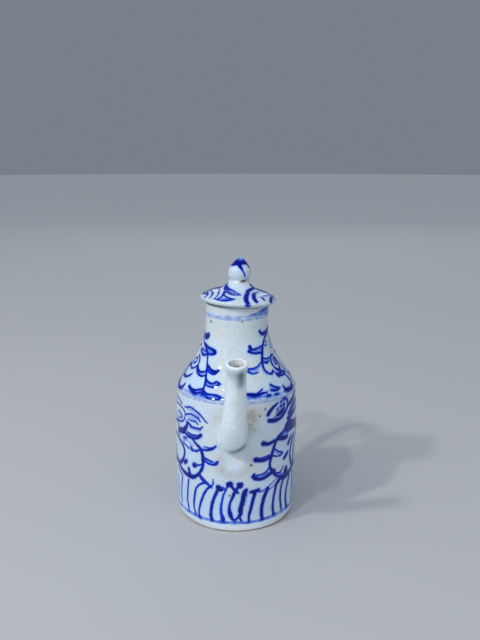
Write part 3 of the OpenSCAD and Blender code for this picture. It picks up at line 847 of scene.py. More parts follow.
# %% Lappets
lappets = [
    (0.45, (-69, 27, 0.4), (-70, 18.8, 0.45), (-71.5, 11.6, 0.45)),
    (0.65, (-59, 28, 0.45), (-61, 22.9, 0.5), (-63, 17.5, 0.5), (-63.5, 10.6, 0.5)),
    (0.65, (-49, 28.2, 0.5), (-51, 20.6, 0.5), (-52, 15.4, 0.55), (-51, 10.7, 0.55),
     (-50.5, 8.4, 0.45)),
    (0.65, (-31, 29.2, 0.65), (-36, 27.2, 0.5), (-39.6, 24, 0.55), (-41.8, 18.6, 0.6),
     (-43, 12.6, 0.5), (-41, 8.2, 0.45)),
    (0.65, (-24, 27.8, 0.55), (-27.2, 26, 0.6), (-31, 22, 0.65), (-34, 17.3, 0.6),
     (-36.6, 11.9, 0.5), (-37, 8.3, 0.55), (-36, 6.3, 0.65)),
    (1.0, (-16.4, 28, 1.35), (-14.8, 26.8, 1.1), (-13.4, 26.6, 0.8)),
    (0.85, (-17.2, 26, 0.8), (-20.2, 21.8, 0.7), (-22.5, 17.5, 0.75), (-23.8, 13, 0.75),
     (-24.3, 9.5, 0.8), (-23, 6.8, 0.7)),
    (0.55, (-14, 28.4, 0.3), (-11.5, 28, 0.35), (-10.2, 26.2, 0.5), (-12, 23, 0.5),
     (-13.5, 18.7, 0.6), (-14.2, 15.2, 0.7), (-14, 11.5, 0.8), (-12.6, 8.2, 1.25),
     (-12.4, 6.4, 0.6)),
    (1.0, (-7.2, 30.2, 1.2), (-5.4, 30.7, 1.3), (-5, 29.6, 1.1)),
    (0.6, (-8, 29, 0.5), (-9, 27.4, 0.45), (-9.8, 26, 0.5)),
    (0.9, (-4.6, 29, 0.6), (-2.6, 27.6, 0.6), (-0.6, 26.2, 0.8), (1.6, 25, 0.5)),
    (1.0, (2.2, 30.2, 1.0), (4.4, 30.1, 1.2), (3.8, 28.9, 1.1)),
    (0.85, (2, 28.8, 0.7), (0.2, 27, 0.75), (-1.4, 25.2, 0.9), (-3, 22.8, 0.7), (-5, 19.8, 0.55),
     (-6.4, 16.4, 0.6), (-6.2, 13.4, 0.9), (-5.6, 11.4, 1.15), (-4.4, 9.2, 0.8), (-2.6, 7.9, 0.7),
     (-0.6, 8, 0.5), (1.4, 9.6, 0.35), (2.6, 11.4, 0.3)),
    (1.0, (9.6, 26.6, 0.8), (8, 25.2, 1.15), (6.6, 22, 1.15), (6, 19.6, 1.1), (4.8, 16.8, 1.1),
     (3.9, 13.6, 1.15), (4.2, 11.6, 0.85), (3.2, 9.4, 0.45), (4.6, 7.4, 0.45)),
    (1.0, (14, 24.9, 0.75), (17.6, 25, 1.0), (21.4, 25.6, 0.85)),
    (0.85, (17.6, 24, 1.0), (16.2, 20.6, 0.85), (14.7, 16.8, 0.85), (13.4, 13.2, 0.8),
     (12, 9.8, 0.6), (12.2, 6.4, 0.55)),
    (1.0, (31, 25.4, 0.9), (28.8, 22.6, 1.05), (26.4, 18.6, 0.95), (25, 14.2, 0.9),
     (24.8, 10.4, 0.85), (25.8, 6.8, 0.8)),
    (0.95, (43.5, 28.4, 0.9), (40.6, 25.2, 0.8), (39, 20.7, 0.65), (37.8, 16.7, 0.65),
     (37.5, 12.5, 0.65), (38.6, 8, 0.75)),
    (0.95, (51, 28, 0.65), (48.2, 23.5, 0.6), (47.2, 19.2, 0.6), (47.7, 14.3, 0.6),
     (49.4, 9.2, 0.6)),
    (1.0, (62, 27.4, 0.85), (58, 21.4, 0.75), (56.4, 16.3, 0.7), (57, 11.7, 0.75),
     (59, 8.4, 0.95)),
    (0.8, (70, 29, 0.7), (70.5, 21, 0.55), (70.5, 15, 0.5), (71, 9.4, 0.6)),
]
print("lappets", len(lappets), "strokes")

# %% Lappets, washes
lappets_wash = [
    (0.35, (21, 24.8, 0.9), (25, 24.2, 0.6), (28, 23.6, 0.5)),
    (0.3, (9, 24, 1.6), (8, 18, 1.4)),
]
print("lappets", len(lappets_wash), "washes")

# %% [markdown]
# ## Bands drawn on the wheel
# While the finished pot turned on the wheel, a brush held still against it drew each band:
# two pale ones under the lid, three faint ones that hide the luted ridge, and a firm line with
# a pale one under the lappets. A line drawn on a turning pot drifts a little and never quite
# closes.

# %% Bands
neck_band = [wheel_line(0.19, 123.1, 1.35, 0.15, 3, sway=(-0.3, 0)),
             wheel_line(0.24, 122.7, 0.6, 0.3, 8, sway=(-0.35, 0))]
ridge_bands = [wheel_line(0.24, 80.7, 0.85, 0.3, 11), wheel_line(0.17, 79.6, 1.0, 0.4, 17),
               wheel_line(0.22, 78.0, 0.5, 0.25, 23)]
base_line = [wheel_line(0.55, 6.1, 0.5, 0.4, 31, sway=(-0.3, 1.9)),
             wheel_line(0.26, 5.9, 0.9, 0.3, 37, sway=(-0.3, 1.9))]
print("bands", len(neck_band + ridge_bands + base_line))

# %% [markdown]
# ## Round the sides
# The painter turned the pot and drew the same flowers and sprigs on its far half. Where the two
# halves meet, thin strokes run out of the front flowers towards the back ones, three more
# lappets close the row, and a small sprig fills the shoulder.

# %% Side lappets
side_lappets = [
    (0.6, (81, 28, 0.6), (78, 21, 0.5), (77.5, 15, 0.45), (80, 9.6, 0.5)),
    (0.7, (91.5, 27.6, 0.7), (89, 21, 0.55), (88.5, 15, 0.5), (90, 9.4, 0.55)),
    (0.45, (101, 28, 0.5), (99, 21, 0.45), (99, 14.6, 0.45), (100, 9.8, 0.5)),
]
print("side lappets", len(side_lappets), "strokes")

# %% Side petals and side sprig
side_petals = [
    (0.95, (74, 76, 0.85), (80, 76.6, 0.75), (87, 75.8, 0.55), (95, 74.6, 0.45), (104, 74, 0.4)),
    (0.9, (76, 71.4, 0.9), (82, 72, 0.8), (89, 71.6, 0.55), (97, 70.7, 0.45), (104, 70.4, 0.4)),
    (0.85, (73, 67.2, 0.9), (80, 67.8, 0.8), (88, 66.8, 0.6), (96, 64.4, 0.45),
     (104, 62.6, 0.4)),
    (1.0, (70, 59.4, 1.5), (77, 59.6, 1.3), (84, 60.8, 0.9), (89, 62.6, 0.5)),
    (0.95, (72, 57.4, 1.1), (79, 56.4, 0.9), (86, 56.2, 0.7), (94, 57.6, 0.55),
     (102, 59.4, 0.5), (110, 60, 0.5)),
    (0.95, (78, 54, 0.8), (82, 52.8, 0.7), (85, 49.8, 0.6), (84.5, 46.6, 0.6), (81, 44.6, 0.5)),
    (0.95, (69, 32, 1.3), (76, 32.8, 1.0), (84, 35, 0.8), (90, 38.6, 0.6), (93, 43, 0.55),
     (94, 47.6, 0.5), (98, 51.2, 0.5), (105, 51.8, 0.5), (112, 50.6, 0.5)),
    (0.95, (110, 35.4, 0.85), (103, 36, 0.75), (98, 38.6, 0.6), (97, 42, 0.5)),
    (0.9, (109, 37.2, 0.85), (105, 40, 0.6), (104, 43.4, 0.45)),
]
side_sprig = [
    (0.85, (95, 112, 0.4), (92, 107, 0.5), (93, 101, 0.5), (91, 94, 0.5), (93, 88, 0.55),
     (92, 83, 0.7)),
    (0.85, (92.5, 105, 0.4), (97, 103.8, 0.5), (101, 104.2, 0.85)),
    (0.8, (93, 100, 0.4), (88.5, 98.8, 0.55), (85, 99.6, 0.85)),
    (0.9, (91.5, 94, 0.4), (96, 92.4, 0.6), (101, 92.8, 0.9)),
    (0.7, (92, 93, 0.3), (96, 90.8, 0.45), (101, 91.8, 0.5)),
    (0.9, (92.5, 88, 0.4), (88, 86.4, 0.6), (84.5, 87, 0.9)),
    (1.0, (92, 83.4, 0.7), (97, 82, 1.0), (102, 82.6, 0.7)),
]
print("side petals", len(side_petals), "strokes, side sprig", len(side_sprig), "strokes")

# %% Brush the belly and the shoulder
WASH_SHARE = 0.4       # how much of its cobalt a filling-in wash keeps in the glaze


def front_and_back(strokes):
    """The strokes of the front half, and the same again on the far half."""
    return strokes + round_the_back(strokes)


def thinned(strokes):
    """The same strokes, watered down to a wash."""
    return [(load * WASH_SHARE, *points) for load, *points in strokes]


all_flowers = left_flower + right_flower + side_petals + lappets + side_lappets
flower_washes = left_flower_wash + right_flower_wash + lappets_wash
belly_ink = front_and_back(all_flowers)
belly_wash = thinned(front_and_back(flower_washes)) + base_line + ridge_bands
# painted shadow of the lid on the right of the neck, as two soft dark washes under its rim
painted_lid_shadow = [
    (0.32, (20, 124.2, 0.5), (38, 124.6, 1.3), (56, 124.8, 2.2), (74, 124.8, 2.5),
     (92, 124.6, 2.2), (112, 124.2, 0.6)),
    (0.5, (44, 126.4, 0.4), (56, 126.2, 1.1), (68, 126, 1.7), (82, 125.8, 1.7),
     (98, 125.6, 0.5)),
]
shoulder_ink = front_and_back(left_sprig + right_sprig + side_sprig)
shoulder_wash = thinned(front_and_back(left_sprig_wash + right_sprig_wash))
shoulder_wash += neck_band + ridge_bands + painted_lid_shadow
for piece, ink, wash in ((belly, belly_ink, belly_wash), (shoulder, shoulder_ink, shoulder_wash)):
    brush(piece, "ink", on_wall(pot_radius, ink))
    brush(piece, "wash", on_wall(pot_radius, wash))

# %% [markdown]
# ## Iron stains, painted shadow and a blue breath
# Iron in the clay burned through the glaze as rusty patches beside and under the spout and as
# dark specks elsewhere, while the bottom of the wall stayed pale. The patch on the right of the
# spout is darker than rust alone, as painted shadow of the spout. The glaze near dense
# brushwork took up a breath of cobalt. All are stored on the vertices as soft round spots, of
# an angle, a height, a radius and a strength. A strength above 1 makes a speck, and one below 0
# a pale place. The half turn puts the blue behind the pot too.

# %% Iron stains and specks
# the first four spots, on the right of the spout, are rust and painted shadow of the spout
STAINS_AND_SHADOW = [(13, 74, 3.4, 0.5), (13.5, 69, 3.4, 0.55), (13, 64, 3.2, 0.5), (17, 69, 6, 0.15),
          (-17, 69, 4, 0.25), (-0.5, 42.6, 5, -0.5), (46, 25, 6, 0.22), (150, 30, 10, 0.3)]
STAINS_AND_SHADOW += [(angle, z, 3.2, 0.3) for angle, z in (
    (-15, 41), (-14, 45.6), (-12.6, 38), (-6, 36.4), (1.6, 36.8), (9.6, 38.8), (14, 42.4),
    (12, 46.4))]
STAINS_AND_SHADOW += [(angle, z, 0.5, 2.9) for angle, z in (
    (11, 121.3), (22, 70.3), (27.5, 73.8), (-6, 23.4), (118, 66), (-131, 98),
    (171, 41), (96, 118))]
STAINS_AND_SHADOW += [(-52.6, 119.7, 0.75, 3.4), (13.5, 41.6, 0.6, 2.6)]
STAINS_AND_SHADOW += [(angle, 1.8, 3.4, -0.55) for angle in range(-180, 180, 6)]
BLUED = [(angle, z, 9, 0.4) for angle in range(-180, 180, 15) for z in (11, 22)]
BLUED += [(angle + turn, z, radius, 0.75) for angle, z, radius in (
    (-50, 58, 11), (-62, 42, 11), (-40, 40, 8), (52, 46, 11), (66, 62, 11), (-62, 90, 9),
    (-38, 86, 9), (36, 86, 8), (66, 88, 10), (-40, 103, 5), (48, 102, 6)) for turn in (0, 180)]
for piece in (belly, shoulder):
    blush(piece, "stain", STAINS_AND_SHADOW)
    blush(piece, "tinted", BLUED)
print("stains", len(STAINS_AND_SHADOW), "blue places", len(BLUED))

# %% [markdown]
# ## How the foot settled
# The wet pot was lifted off the wheel by hand, so its lower wall stands out a little at the
# front left. Later its bottom edge was pared with a knife, more at the sides than in front. The
# brushwork is stored on the vertices, so it simply moves along with them.

# %% Spread and pared foot
FOOT_SPREAD = 1.6      # the most that the lower wall stands out, in millimetres
FOOT_SPREAD_WAY = math.radians(-65)
SPREAD_TOP, SPREAD_FULL = 72, 20   # heights at which it begins and is complete
PARED_Z = 5            # height of the pared edge
PARED_SIDES = 2.8      # how much was pared off at the sides
PARED_LEFT = 0.8       # how much more than that at the left, and less at the right
FOOT_EDGE = FOOT_RING_IN + 0.5
EDGE_FADE = 3.7        # width under the foot over which these moves fade in

for v in belly.data.vertices:
    r, z = from_axis(v.co), v.co.z / MM
    if r < FOOT_EDGE or (z > 0.5 and not on_outer_wall(v.co)):
        continue
    low = soft_step((SPREAD_TOP - z) / (SPREAD_TOP - SPREAD_FULL))
    facing = max(0, math.cos(math.atan2(v.co.x, -v.co.y) - FOOT_SPREAD_WAY))
    right = v.co.x / MM / r
    move = FOOT_SPREAD * low * facing ** 2
    move -= (PARED_SIDES * right * right - PARED_LEFT * right) * max(0, 1 - z / PARED_Z) ** 1.4
    move *= min(1, (r - FOOT_EDGE) / EDGE_FADE)
    v.co += outwards(v.co) * move * MM
print("foot reaches", [round(min(v.co[k] for v in belly.data.vertices) / MM, 1) for k in (0, 1)])

# %% [markdown]
# ## Tubes and straps along a curve
# Spout and handle are both a row of rings carried along a smooth curve. A circle is made at
# each station, turned square to the curve, and bridged to the one before. The same function
# serves for a round spout and for a flat strap, since a strap's ring is only a squashed circle.

# %% Rings along a curve
def bezier(points, t):
    """A place on a cubic Bezier curve of (y, z) points, and the direction there."""
    a, b, c, d = (Vector((0, y, z)) for y, z in points)
    place = (1 - t) ** 3 * a + 3 * (1 - t) ** 2 * t * b + 3 * (1 - t) * t ** 2 * c + t ** 3 * d
    along = (1 - t) ** 2 * (b - a) + 2 * (1 - t) * t * (c - b) + t ** 2 * (d - c)
    return place, along.normalized()


def tube_ring(bm, place, along, wide, thick, segments, square=1.0):
    """A closed loop square to along: wide across X, thick across the curve's own plane."""
    side = Vector((1, 0, 0))
    up = along.cross(side).normalized()
    turn = Matrix((side, up, along)).transposed().to_4x4()
    made = bmesh.ops.create_circle(bm, segments=segments, radius=1)["verts"]
    for v in made:
        x, y = v.co.x, v.co.y
        v.co.x = math.copysign(abs(x) ** square, x) * wide * MM
        v.co.y = math.copysign(abs(y) ** square, y) * thick * MM
    bmesh.ops.transform(bm, matrix=Matrix.Translation(place * MM) @ turn, verts=made)
    return made


def bridge(bm, first, second):
    """Joins two rings with a band of faces."""
    loops = {e for v in first + second for e in v.link_edges if len(e.link_faces) < 2
             and (set(e.verts) <= set(first) or set(e.verts) <= set(second))}
    bmesh.ops.bridge_loops(bm, edges=list(loops))


def bell(x, width):
    """A smooth hump: 1 at x = 0, and nearly nothing from two widths away."""
    return math.exp(-(x / width) ** 2)

# %% [markdown]
# ## The spout
# The spout is the hardest piece. Potters cast or rolled it separately, because it has to pour
# from a round bulb at the root through a narrow throat to a thick lip, and its bore must stay
# even. It was pressed on over the strainer, and the slip that squeezed out was smoothed down
# with a wet finger, so the wall rises softly towards the root instead of meeting it in a corner.

# %% Spout
SPOUT_PATH = [(-33, 58), (-46, 61), (-55, 86), (-66, 110.5)]
TIP_R = 5.2
ROOT_R = 9.0
BORE_R = 2.1
BORE_GROWS = 4.1       # how much wider the bore is at the root
FUNNEL = 1.8           # how much wider it opens again at the lip
SPOUT_RINGS = 84
SPOUT_SEGMENTS = 72
SPOUT_FROM, SPOUT_SHARE = 0.04, 0.925      # where on its path the outside starts, and its share
LIP_TURNS = [0.1 + 0.21 * k for k in range(14)]   # angles round the lip, from outside to bore
LIP_DEEP = 1.1         # the lip's roll is a little deeper than it is wide
SPOUT_HUMPS = [(0.4, 0.4, 0.13), (0.6, 0.0, 0.07), (0.7, 1.0, 0.06)]  # how much, where, width
BORE_STATIONS = (0.05, 0.12, 0.2, 0.3, 0.4, 0.5, 0.6, 0.7, 0.78, 0.85, 0.9, 0.935, 0.96)
LIP_TILT = 0.20        # how far the rim was levelled after the spout was bent, in radians
LEVELLED_Z = 96        # height from which the rings turn level
SPOUT_ASKEW = (-1.7, 0.5)   # sideways places of root and tip, in millimetres
SWELL, SWELL_LONG = 0.16, 14        # depth and length of the outside's unevenness


def spout_radius(t):
    """Outer radius from root (0) to tip (1): bulb, throat, a slight swelling and a thick lip."""
    taper = TIP_R + (ROOT_R - TIP_R) * (1 - t) ** 1.6
    return taper + sum(much * bell(t - where, width) for much, where, width in SPOUT_HUMPS)


def bore_radius(t):
    """Radius of the bore, from root (0) to tip (1)."""
    return BORE_R + BORE_GROWS * (1 - t) ** 1.4 + FUNNEL * bell(1 - t, 0.05)


def askew(t):
    """The spout was pressed on a little crookedly, so its root lies left of its tip."""
    return Vector((SPOUT_ASKEW[0] + (SPOUT_ASKEW[1] - SPOUT_ASKEW[0]) * t, 0, 0))


def spout_row(t, radius):
    """The place, the direction and the radius of one ring of the spout."""
    place, along = bezier(SPOUT_PATH, t)
    return place + askew(t), along, radius(t)


stations = [SPOUT_FROM + SPOUT_SHARE * k / SPOUT_RINGS for k in range(SPOUT_RINGS + 1)]
rows = [spout_row(t, spout_radius) for t in stations]
tip, tip_way, tip_r = spout_row(1, spout_radius)
lip_half = (tip_r - bore_radius(1)) / 2
for turn in LIP_TURNS:
    drop = lip_half * (math.sin(turn) - 1)
    radius = tip_r - lip_half * (1 - math.cos(turn))
    rows.append((tip + tip_way * drop * LIP_DEEP, tip_way, radius))
rows += [spout_row(t, bore_radius) for t in reversed(BORE_STATIONS)]
print("spout", len(rows), "rings, lip at", [round(c, 1) for c in tip])

# %% Loft the spout
spout_bm = bmesh.new()
loops = []
for place, along, radius in rows:
    levelled = LIP_TILT * max(0, (place.z - LEVELLED_Z) / (tip.z - LEVELLED_Z)) ** 2
    along = (Matrix.Rotation(-levelled, 3, "X") @ along).normalized()
    loops.append(tube_ring(spout_bm, place, along, radius, radius, SPOUT_SEGMENTS))
for first, second in zip(loops, loops[1:] + loops[:1]):
    bridge(spout_bm, first, second)
for loop, (place, *_) in zip(loops[:len(stations)], rows):
    for v in loop:
        swell = noise.noise(v.co / (SWELL_LONG * MM)) * SWELL
        v.co += (v.co - place * MM).normalized() * swell * MM
bmesh.ops.recalc_face_normals(spout_bm, faces=spout_bm.faces)
spout = finish_mesh(spout_bm, "spout_tube")

# %% Slip smoothed down round the spout's root
SLIP_REACH = 3.8       # how far from the spout the wall starts to rise, in millimetres
SLIP_RISE = 0.9        # how high it stands against the spout's sides
SLIP_FOOT = 47.0       # height under the bulb at which it has run out
SLIP_FADE = 9          # height over which it runs out
SLIP_Y = -20           # only the wall in front of this, and between these heights, is near it
SLIP_LOW, SLIP_TOP = 35, 79
spout_line = [spout_row(0.08 * k, spout_radius) for k in range(1, 7)]
risen = 0
for v in belly.data.vertices:
    near = v.co.y < SLIP_Y * MM and SLIP_LOW * MM < v.co.z < SLIP_TOP * MM
    if not (near and on_outer_wall(v.co)):
        continue
    gap = min((v.co / MM - place).length - radius for place, _, radius in spout_line)
    rise = SLIP_RISE * min(1, max(0, 1 - gap / SLIP_REACH)) ** 2.2
    rise *= min(1, max(0, (v.co.z / MM - SLIP_FOOT) / SLIP_FADE))
    v.co += outwards(v.co) * rise * MM
    risen += rise > 0
print("slip lifts", risen, "vertices of the wall")

# %% [markdown]
# ## The handle
# A strap was pulled, bent over a thumb and pressed on at both ends. It is flat against the
# fingers with soft edges, widest at its two ends, and thins a little as it comes down.

# %% Handle
HANDLE_UPPER = [(15, 112), (36, 122), (60, 121), (60, 97)]
HANDLE_LOWER = [(60, 97), (60, 77), (50, 62), (32, 49)]
STRAP_W = 5.6
STRAP_T = 2.9
STRAP_SQUARE = 0.8     # below 1 the strap's ring is squarer than an ellipse
STRAP_FROM, STRAP_SHARE = 0.035, 0.93      # where on its path the strap starts, and its share
HANDLE_RINGS = 60
HANDLE_SEGMENTS = 56
SEAT_RINGS = 9         # rings at each end that slant towards the wall
SINK = 0.9             # how deep each rim sinks into it, in millimetres
SLIDE_MOST, SLIDE_STEP = 8, 0.1     # how far a vertex may slide along the strap to get there
STRAP_THINS = 0.18     # share of its size that the strap loses on its way down
END_SWELL = 0.45       # share that it gains at its ends
UNEVEN, UNEVEN_LONG = 0.05, 11      # share and length of the unevenness left by the fingers
FLARE_REACH = 2.2      # how far from the wall the strap starts to spread on it, in millimetres
FLARE = 1.6            # how far it spreads


def handle_at(s):
    """A place on the handle from 0 at the neck to 1 at the belly, and the direction there."""
    if s <= 0.5:
        return bezier(HANDLE_UPPER, 2 * s)
    return bezier(HANDLE_LOWER, 2 * s - 1)


def strap_scale(s):
    """The strap's size: it thins on its way down and is thickest at its two ends."""
    return (1 - STRAP_THINS * s) * (1 + END_SWELL * (bell(s, 0.09) + bell(1 - s, 0.08)))


def seat(end_loops, inwards):
    """Slants one end of the strap, so that its whole rim sinks a little into the wall."""
    for j, v in enumerate(end_loops[0]):
        slide = 0
        while slide < SLIDE_MOST:
            sunk = v.co + inwards * slide * MM
            if from_axis(sunk) < pot_radius(sunk.z / MM) - SINK:
                break
            slide += SLIDE_STEP
        for k, loop in enumerate(end_loops):
            loop[j].co += inwards * slide * (1 - k / len(end_loops)) ** 1.5 * MM


def flare(v, centre):
    """Moves a vertex outwards along the pot's wall where it comes near the wall."""
    above = from_axis(v.co) - pot_radius(v.co.z / MM)
    if above <= FLARE_REACH:
        out = outwards(v.co)
        away = v.co - centre
        away -= out * away.dot(out)
        v.co += away.normalized() * FLARE * min(1.3, (1 - above / FLARE_REACH) ** 2) * MM

# %% Pull the strap
handle_bm = bmesh.new()
stations = [STRAP_FROM + STRAP_SHARE * k / HANDLE_RINGS for k in range(HANDLE_RINGS + 1)]
loops = []
for s in stations:
    place, along = handle_at(s)
    size = strap_scale(s)
    loops.append(tube_ring(handle_bm, place, along, STRAP_W * size, STRAP_T * size,
                           HANDLE_SEGMENTS, STRAP_SQUARE))
seat(loops[:SEAT_RINGS], -handle_at(stations[0])[1])
seat(loops[::-1][:SEAT_RINGS], handle_at(stations[-1])[1])
for s, loop in zip(stations, loops):
    centre = handle_at(s)[0] * MM
    for v in loop:
        flare(v, centre)
        v.co += (v.co - centre) * UNEVEN * noise.noise(v.co / (UNEVEN_LONG * MM))
for k in range(HANDLE_RINGS):
    bridge(handle_bm, loops[k], loops[k + 1])
for end in (loops[0], loops[-1]):
    bmesh.ops.contextual_create(handle_bm, geom=end)
bmesh.ops.recalc_face_normals(handle_bm, faces=handle_bm.faces)
handle = finish_mesh(handle_bm, "handle_strap")

# %% [markdown]
# ## Dashes on the handle
# Short dashes cross the back of the strap, where the painter's hand could reach after it was
# attached. They are laid on the outer face in the same way as on a wall, from a place along the
# strap, a place across it and a half width.

# %% Dashes on the handle
def on_strap(dashes):
    """Lays dashes of (along 0 to 1, across in mm, half width) on the strap's outer face."""
    laid = []
    for load, *points in dashes:
        places = []
        for s, across, _ in points:
            place, along = handle_at(s)
            out = Vector((1, 0, 0)).cross(along)
            places.append(place + out * STRAP_T * strap_scale(s) + Vector((across, 0, 0)))
        halves = np.array([half for *_, half in points])
        laid.append((load, np.array([tuple(p) for p in places]), halves))
    return laid


DASHES = 11
DASH_FROM, DASH_GAP = 0.15, 0.066   # places along the strap
dashes = []
for k in range(DASHES):
    s = DASH_FROM + DASH_GAP * k
    lean = 0.006 * math.sin(2.3 * k)
    load = 0.75 + 0.2 * math.sin(1.7 * k + 1)
    dashes.append((load, (s - lean, -3.4, 0.3), (s - 0.012, -1.2, 0.7), (s - 0.01, 1.4, 0.75),
                   (s + lean + 0.006, 3.5, 0.35)))
brush(handle, "ink", on_strap(dashes))

# %% [markdown]
# ## The lid
# The lid is a shallow dome with a flat underside, and a collar that drops into the neck and
# stops it sliding off. Its rim is only a little wider than the neck. A small steam hole, pricked
# beside the knob, lets air in while the tea runs out.

# %% Lid
LID_R = 22.4
RIM_Z = 131.1          # height of the widest edge
DOME_H = 6.7
DOME_POWER = 1.4
STEM_R = 5.9
STEM_POWER = 1.6
STEM_Z = lid_high.z / MM
DOME_END = math.radians(62)
UNDERSIDE_Z = 129.0
HOLLOW_H = 5.4         # how deep the underside is hollowed inside the collar
COLLAR_OUT = 15.2
COLLAR_IN = 13.0
COLLAR_Z = 123.0
LID_STEPS = 360
LID_SLOW = 0.2         # the lid wanders a little more than the walls do

dome_end_r = LID_R * math.cos(DOME_END)
dome_end_z = RIM_Z + DOME_H * math.sin(DOME_END) ** DOME_POWER


def lid_radius(z):
    """Outer radius of the lid's top at a height, in millimetres."""
    if z <= RIM_Z:
        return LID_R
    if z < dome_end_z:
        rise = ((z - RIM_Z) / DOME_H) ** (1 / DOME_POWER)
        return LID_R * math.sqrt(max(0, 1 - rise * rise))
    rise = min(1, (z - dome_end_z) / (STEM_Z - dome_end_z))
    return STEM_R + (dome_end_r - STEM_R) * (1 - rise) ** STEM_POWER


lid_top = [(LID_R * math.cos(a), RIM_Z + DOME_H * math.sin(a) ** DOME_POWER)
           for a in steps_between(0, DOME_END, math.radians(1.6))]
lid_top += [(STEM_R + (dome_end_r - STEM_R) * (1 - u) ** STEM_POWER,
             dome_end_z + (STEM_Z - dome_end_z) * u) for u in steps_between(0, 1, 0.06)[1:]]
lid_rim = [(r, UNDERSIDE_Z) for r in (COLLAR_OUT, 17, 18.6, 19.5)]
lid_rim += [(20.1, 129.1), (20.8, 129.3), (21.4, 129.62), (21.9, 130.05), (22.25, 130.55)]
collar = [(COLLAR_IN + 0.3, COLLAR_Z), (COLLAR_IN + 1.0, COLLAR_Z - 0.12),
          (COLLAR_OUT - 0.7, COLLAR_Z), (COLLAR_OUT - 0.15, COLLAR_Z + 0.5)]
collar += [(COLLAR_OUT, z) for z in (124.5, 126, 127.5)]
bowl = [(0, UNDERSIDE_Z + HOLLOW_H)]
bowl += [(COLLAR_IN * math.sin(a), UNDERSIDE_Z + HOLLOW_H * math.cos(a))
         for a in steps_between(0.2, math.pi / 2, 0.17)]
bowl += [(COLLAR_IN, z) for z in (127.5, 126, 124.5)]
stem = [(STEM_R - 2, STEM_Z + 0.6), (0, STEM_Z + 0.6)]


def on_dome(co):
    """True on the lid's painted top, false under it and under the knob."""
    r, z = from_axis(co), co.z / MM
    return z > UNDERSIDE_Z + 0.2 and r > max(STEM_R, lid_radius(z) - 1)


lid_bm = throw(bowl + collar + lid_rim + lid_top + stem, LID_STEPS)
warp_outside(lid_bm, on_dome, LID_SLOW)
lid = finish_mesh(lid_bm, "lid_dome")

# %% [markdown]
# ## Brushwork on the lid
# Two thick commas and a fan of hatching face the spout on one side of the lid, and two leaves
# with arcs beside them on the other. The far half carries the same again.

# %% Strokes of the lid
lid_right = [
    (0.85, (70, 137.8, 0.6), (48, 137.5, 0.8), (31, 136.8, 1.0), (19, 135.7, 1.15),
     (14, 134.5, 1.2), (13, 133.2, 1.2), (14.5, 132.2, 1.05)),
    (1.0, (11.5, 130.8, 0.4), (14, 130.4, 0.55), (17, 130.9, 0.4)),
    (0.85, (64, 136.3, 0.6), (50, 136.2, 0.8), (37, 135.7, 0.95), (30.5, 134.7, 1.05),
     (28.5, 133.6, 1.1), (29.5, 132.8, 0.95)),
    (1.0, (49, 136.3, 0.6), (61, 136.1, 0.7)),
    (0.95, (47, 134.3, 0.5), (47, 133.4, 0.65)),
    (0.7, (55, 134.6, 0.3), (63, 134.6, 0.45), (78, 134.3, 0.5)),
    (1.0, (78, 133.6, 0.6), (65, 132.8, 0.75), (57.5, 131.8, 0.65)),
    (0.9, (88, 134.3, 0.4), (84, 133.3, 0.5), (80, 132.2, 0.4)),
    (1.0, (72, 139.3, 0.8), (84, 138, 1.1), (95, 136.6, 1.0), (92, 135.6, 0.8),
     (86, 134.6, 0.6)),
    (0.95, (79, 137.6, 0.8), (84, 136.8, 0.8), (77, 136.2, 0.6), (76, 135.5, 0.5)),
]
lid_left = [
    (0.8, (-52, 138.2, 0.6), (-42, 137.5, 0.55), (-21, 136.9, 0.5), (-5, 136.2, 0.5),
     (4, 135.5, 0.35)),
    (0.8, (-47, 136.7, 0.6), (-24, 135.9, 0.6), (-11, 135.4, 0.6), (4, 135.5, 0.35)),
    (0.85, (-42, 136.6, 0.55), (-33, 135.4, 0.6), (-31, 134.2, 0.5), (-35, 132.9, 0.35)),
    (0.75, (-30, 134.9, 0.4), (-18, 134.1, 0.45), (-7, 133.7, 0.3)),
    (0.8, (-40, 132.8, 0.3), (-30, 132.6, 0.45), (-21, 132.7, 0.6), (-14, 133.1, 0.5),
     (-6, 133.8, 0.3)),
    (0.95, (-72, 139.2, 0.7), (-66, 138.4, 0.85), (-58, 137.6, 0.7), (-48, 136.7, 0.5)),
    (0.6, (-84, 136.6, 0.7), (-72, 136.4, 0.65), (-58, 136.1, 0.45), (-45, 135.1, 0.35),
     (-40, 133.8, 0.3), (-42, 132.7, 0.25)),
    (0.7, (-94, 135.4, 0.5), (-80, 135, 0.45), (-63, 134.9, 0.4), (-52, 133.8, 0.35),
     (-51, 132.4, 0.25)),
    (1.0, (-92, 133.4, 0.5), (-79, 133.2, 0.5), (-70, 133.7, 0.45), (-63, 133.3, 0.4),
     (-62, 132.1, 0.3)),
    (0.9, (-84, 134.2, 0.3), (-77, 134.2, 0.45), (-72, 133.8, 0.35)),
]
lid_wash = [
    (0.4, (-44, 137, 0.4), (-26, 136.4, 0.5), (-8, 135.9, 0.4)),
    (0.3, (-34, 133.4, 0.3), (-24, 133.5, 0.5), (-14, 133.5, 0.3)),
    (0.5, (74, 138, 0.8), (84, 137, 1.0), (86, 135.4, 0.8)),
]
print("lid", len(lid_right + lid_left), "strokes", len(lid_wash), "washes")

# %% [markdown]
# ## The knob
# The knob is a ball drawn out to a point, like a bud, and thrown as the rest is. Its tip was
# dipped in cobalt, and one drip ran down. The very point is left pale, under only a thin wash,
# as a painted highlight. The steam hole was pricked beside its foot with a flat blade, so it goes
# through lid and knob alike, and one flattened rod cuts both.

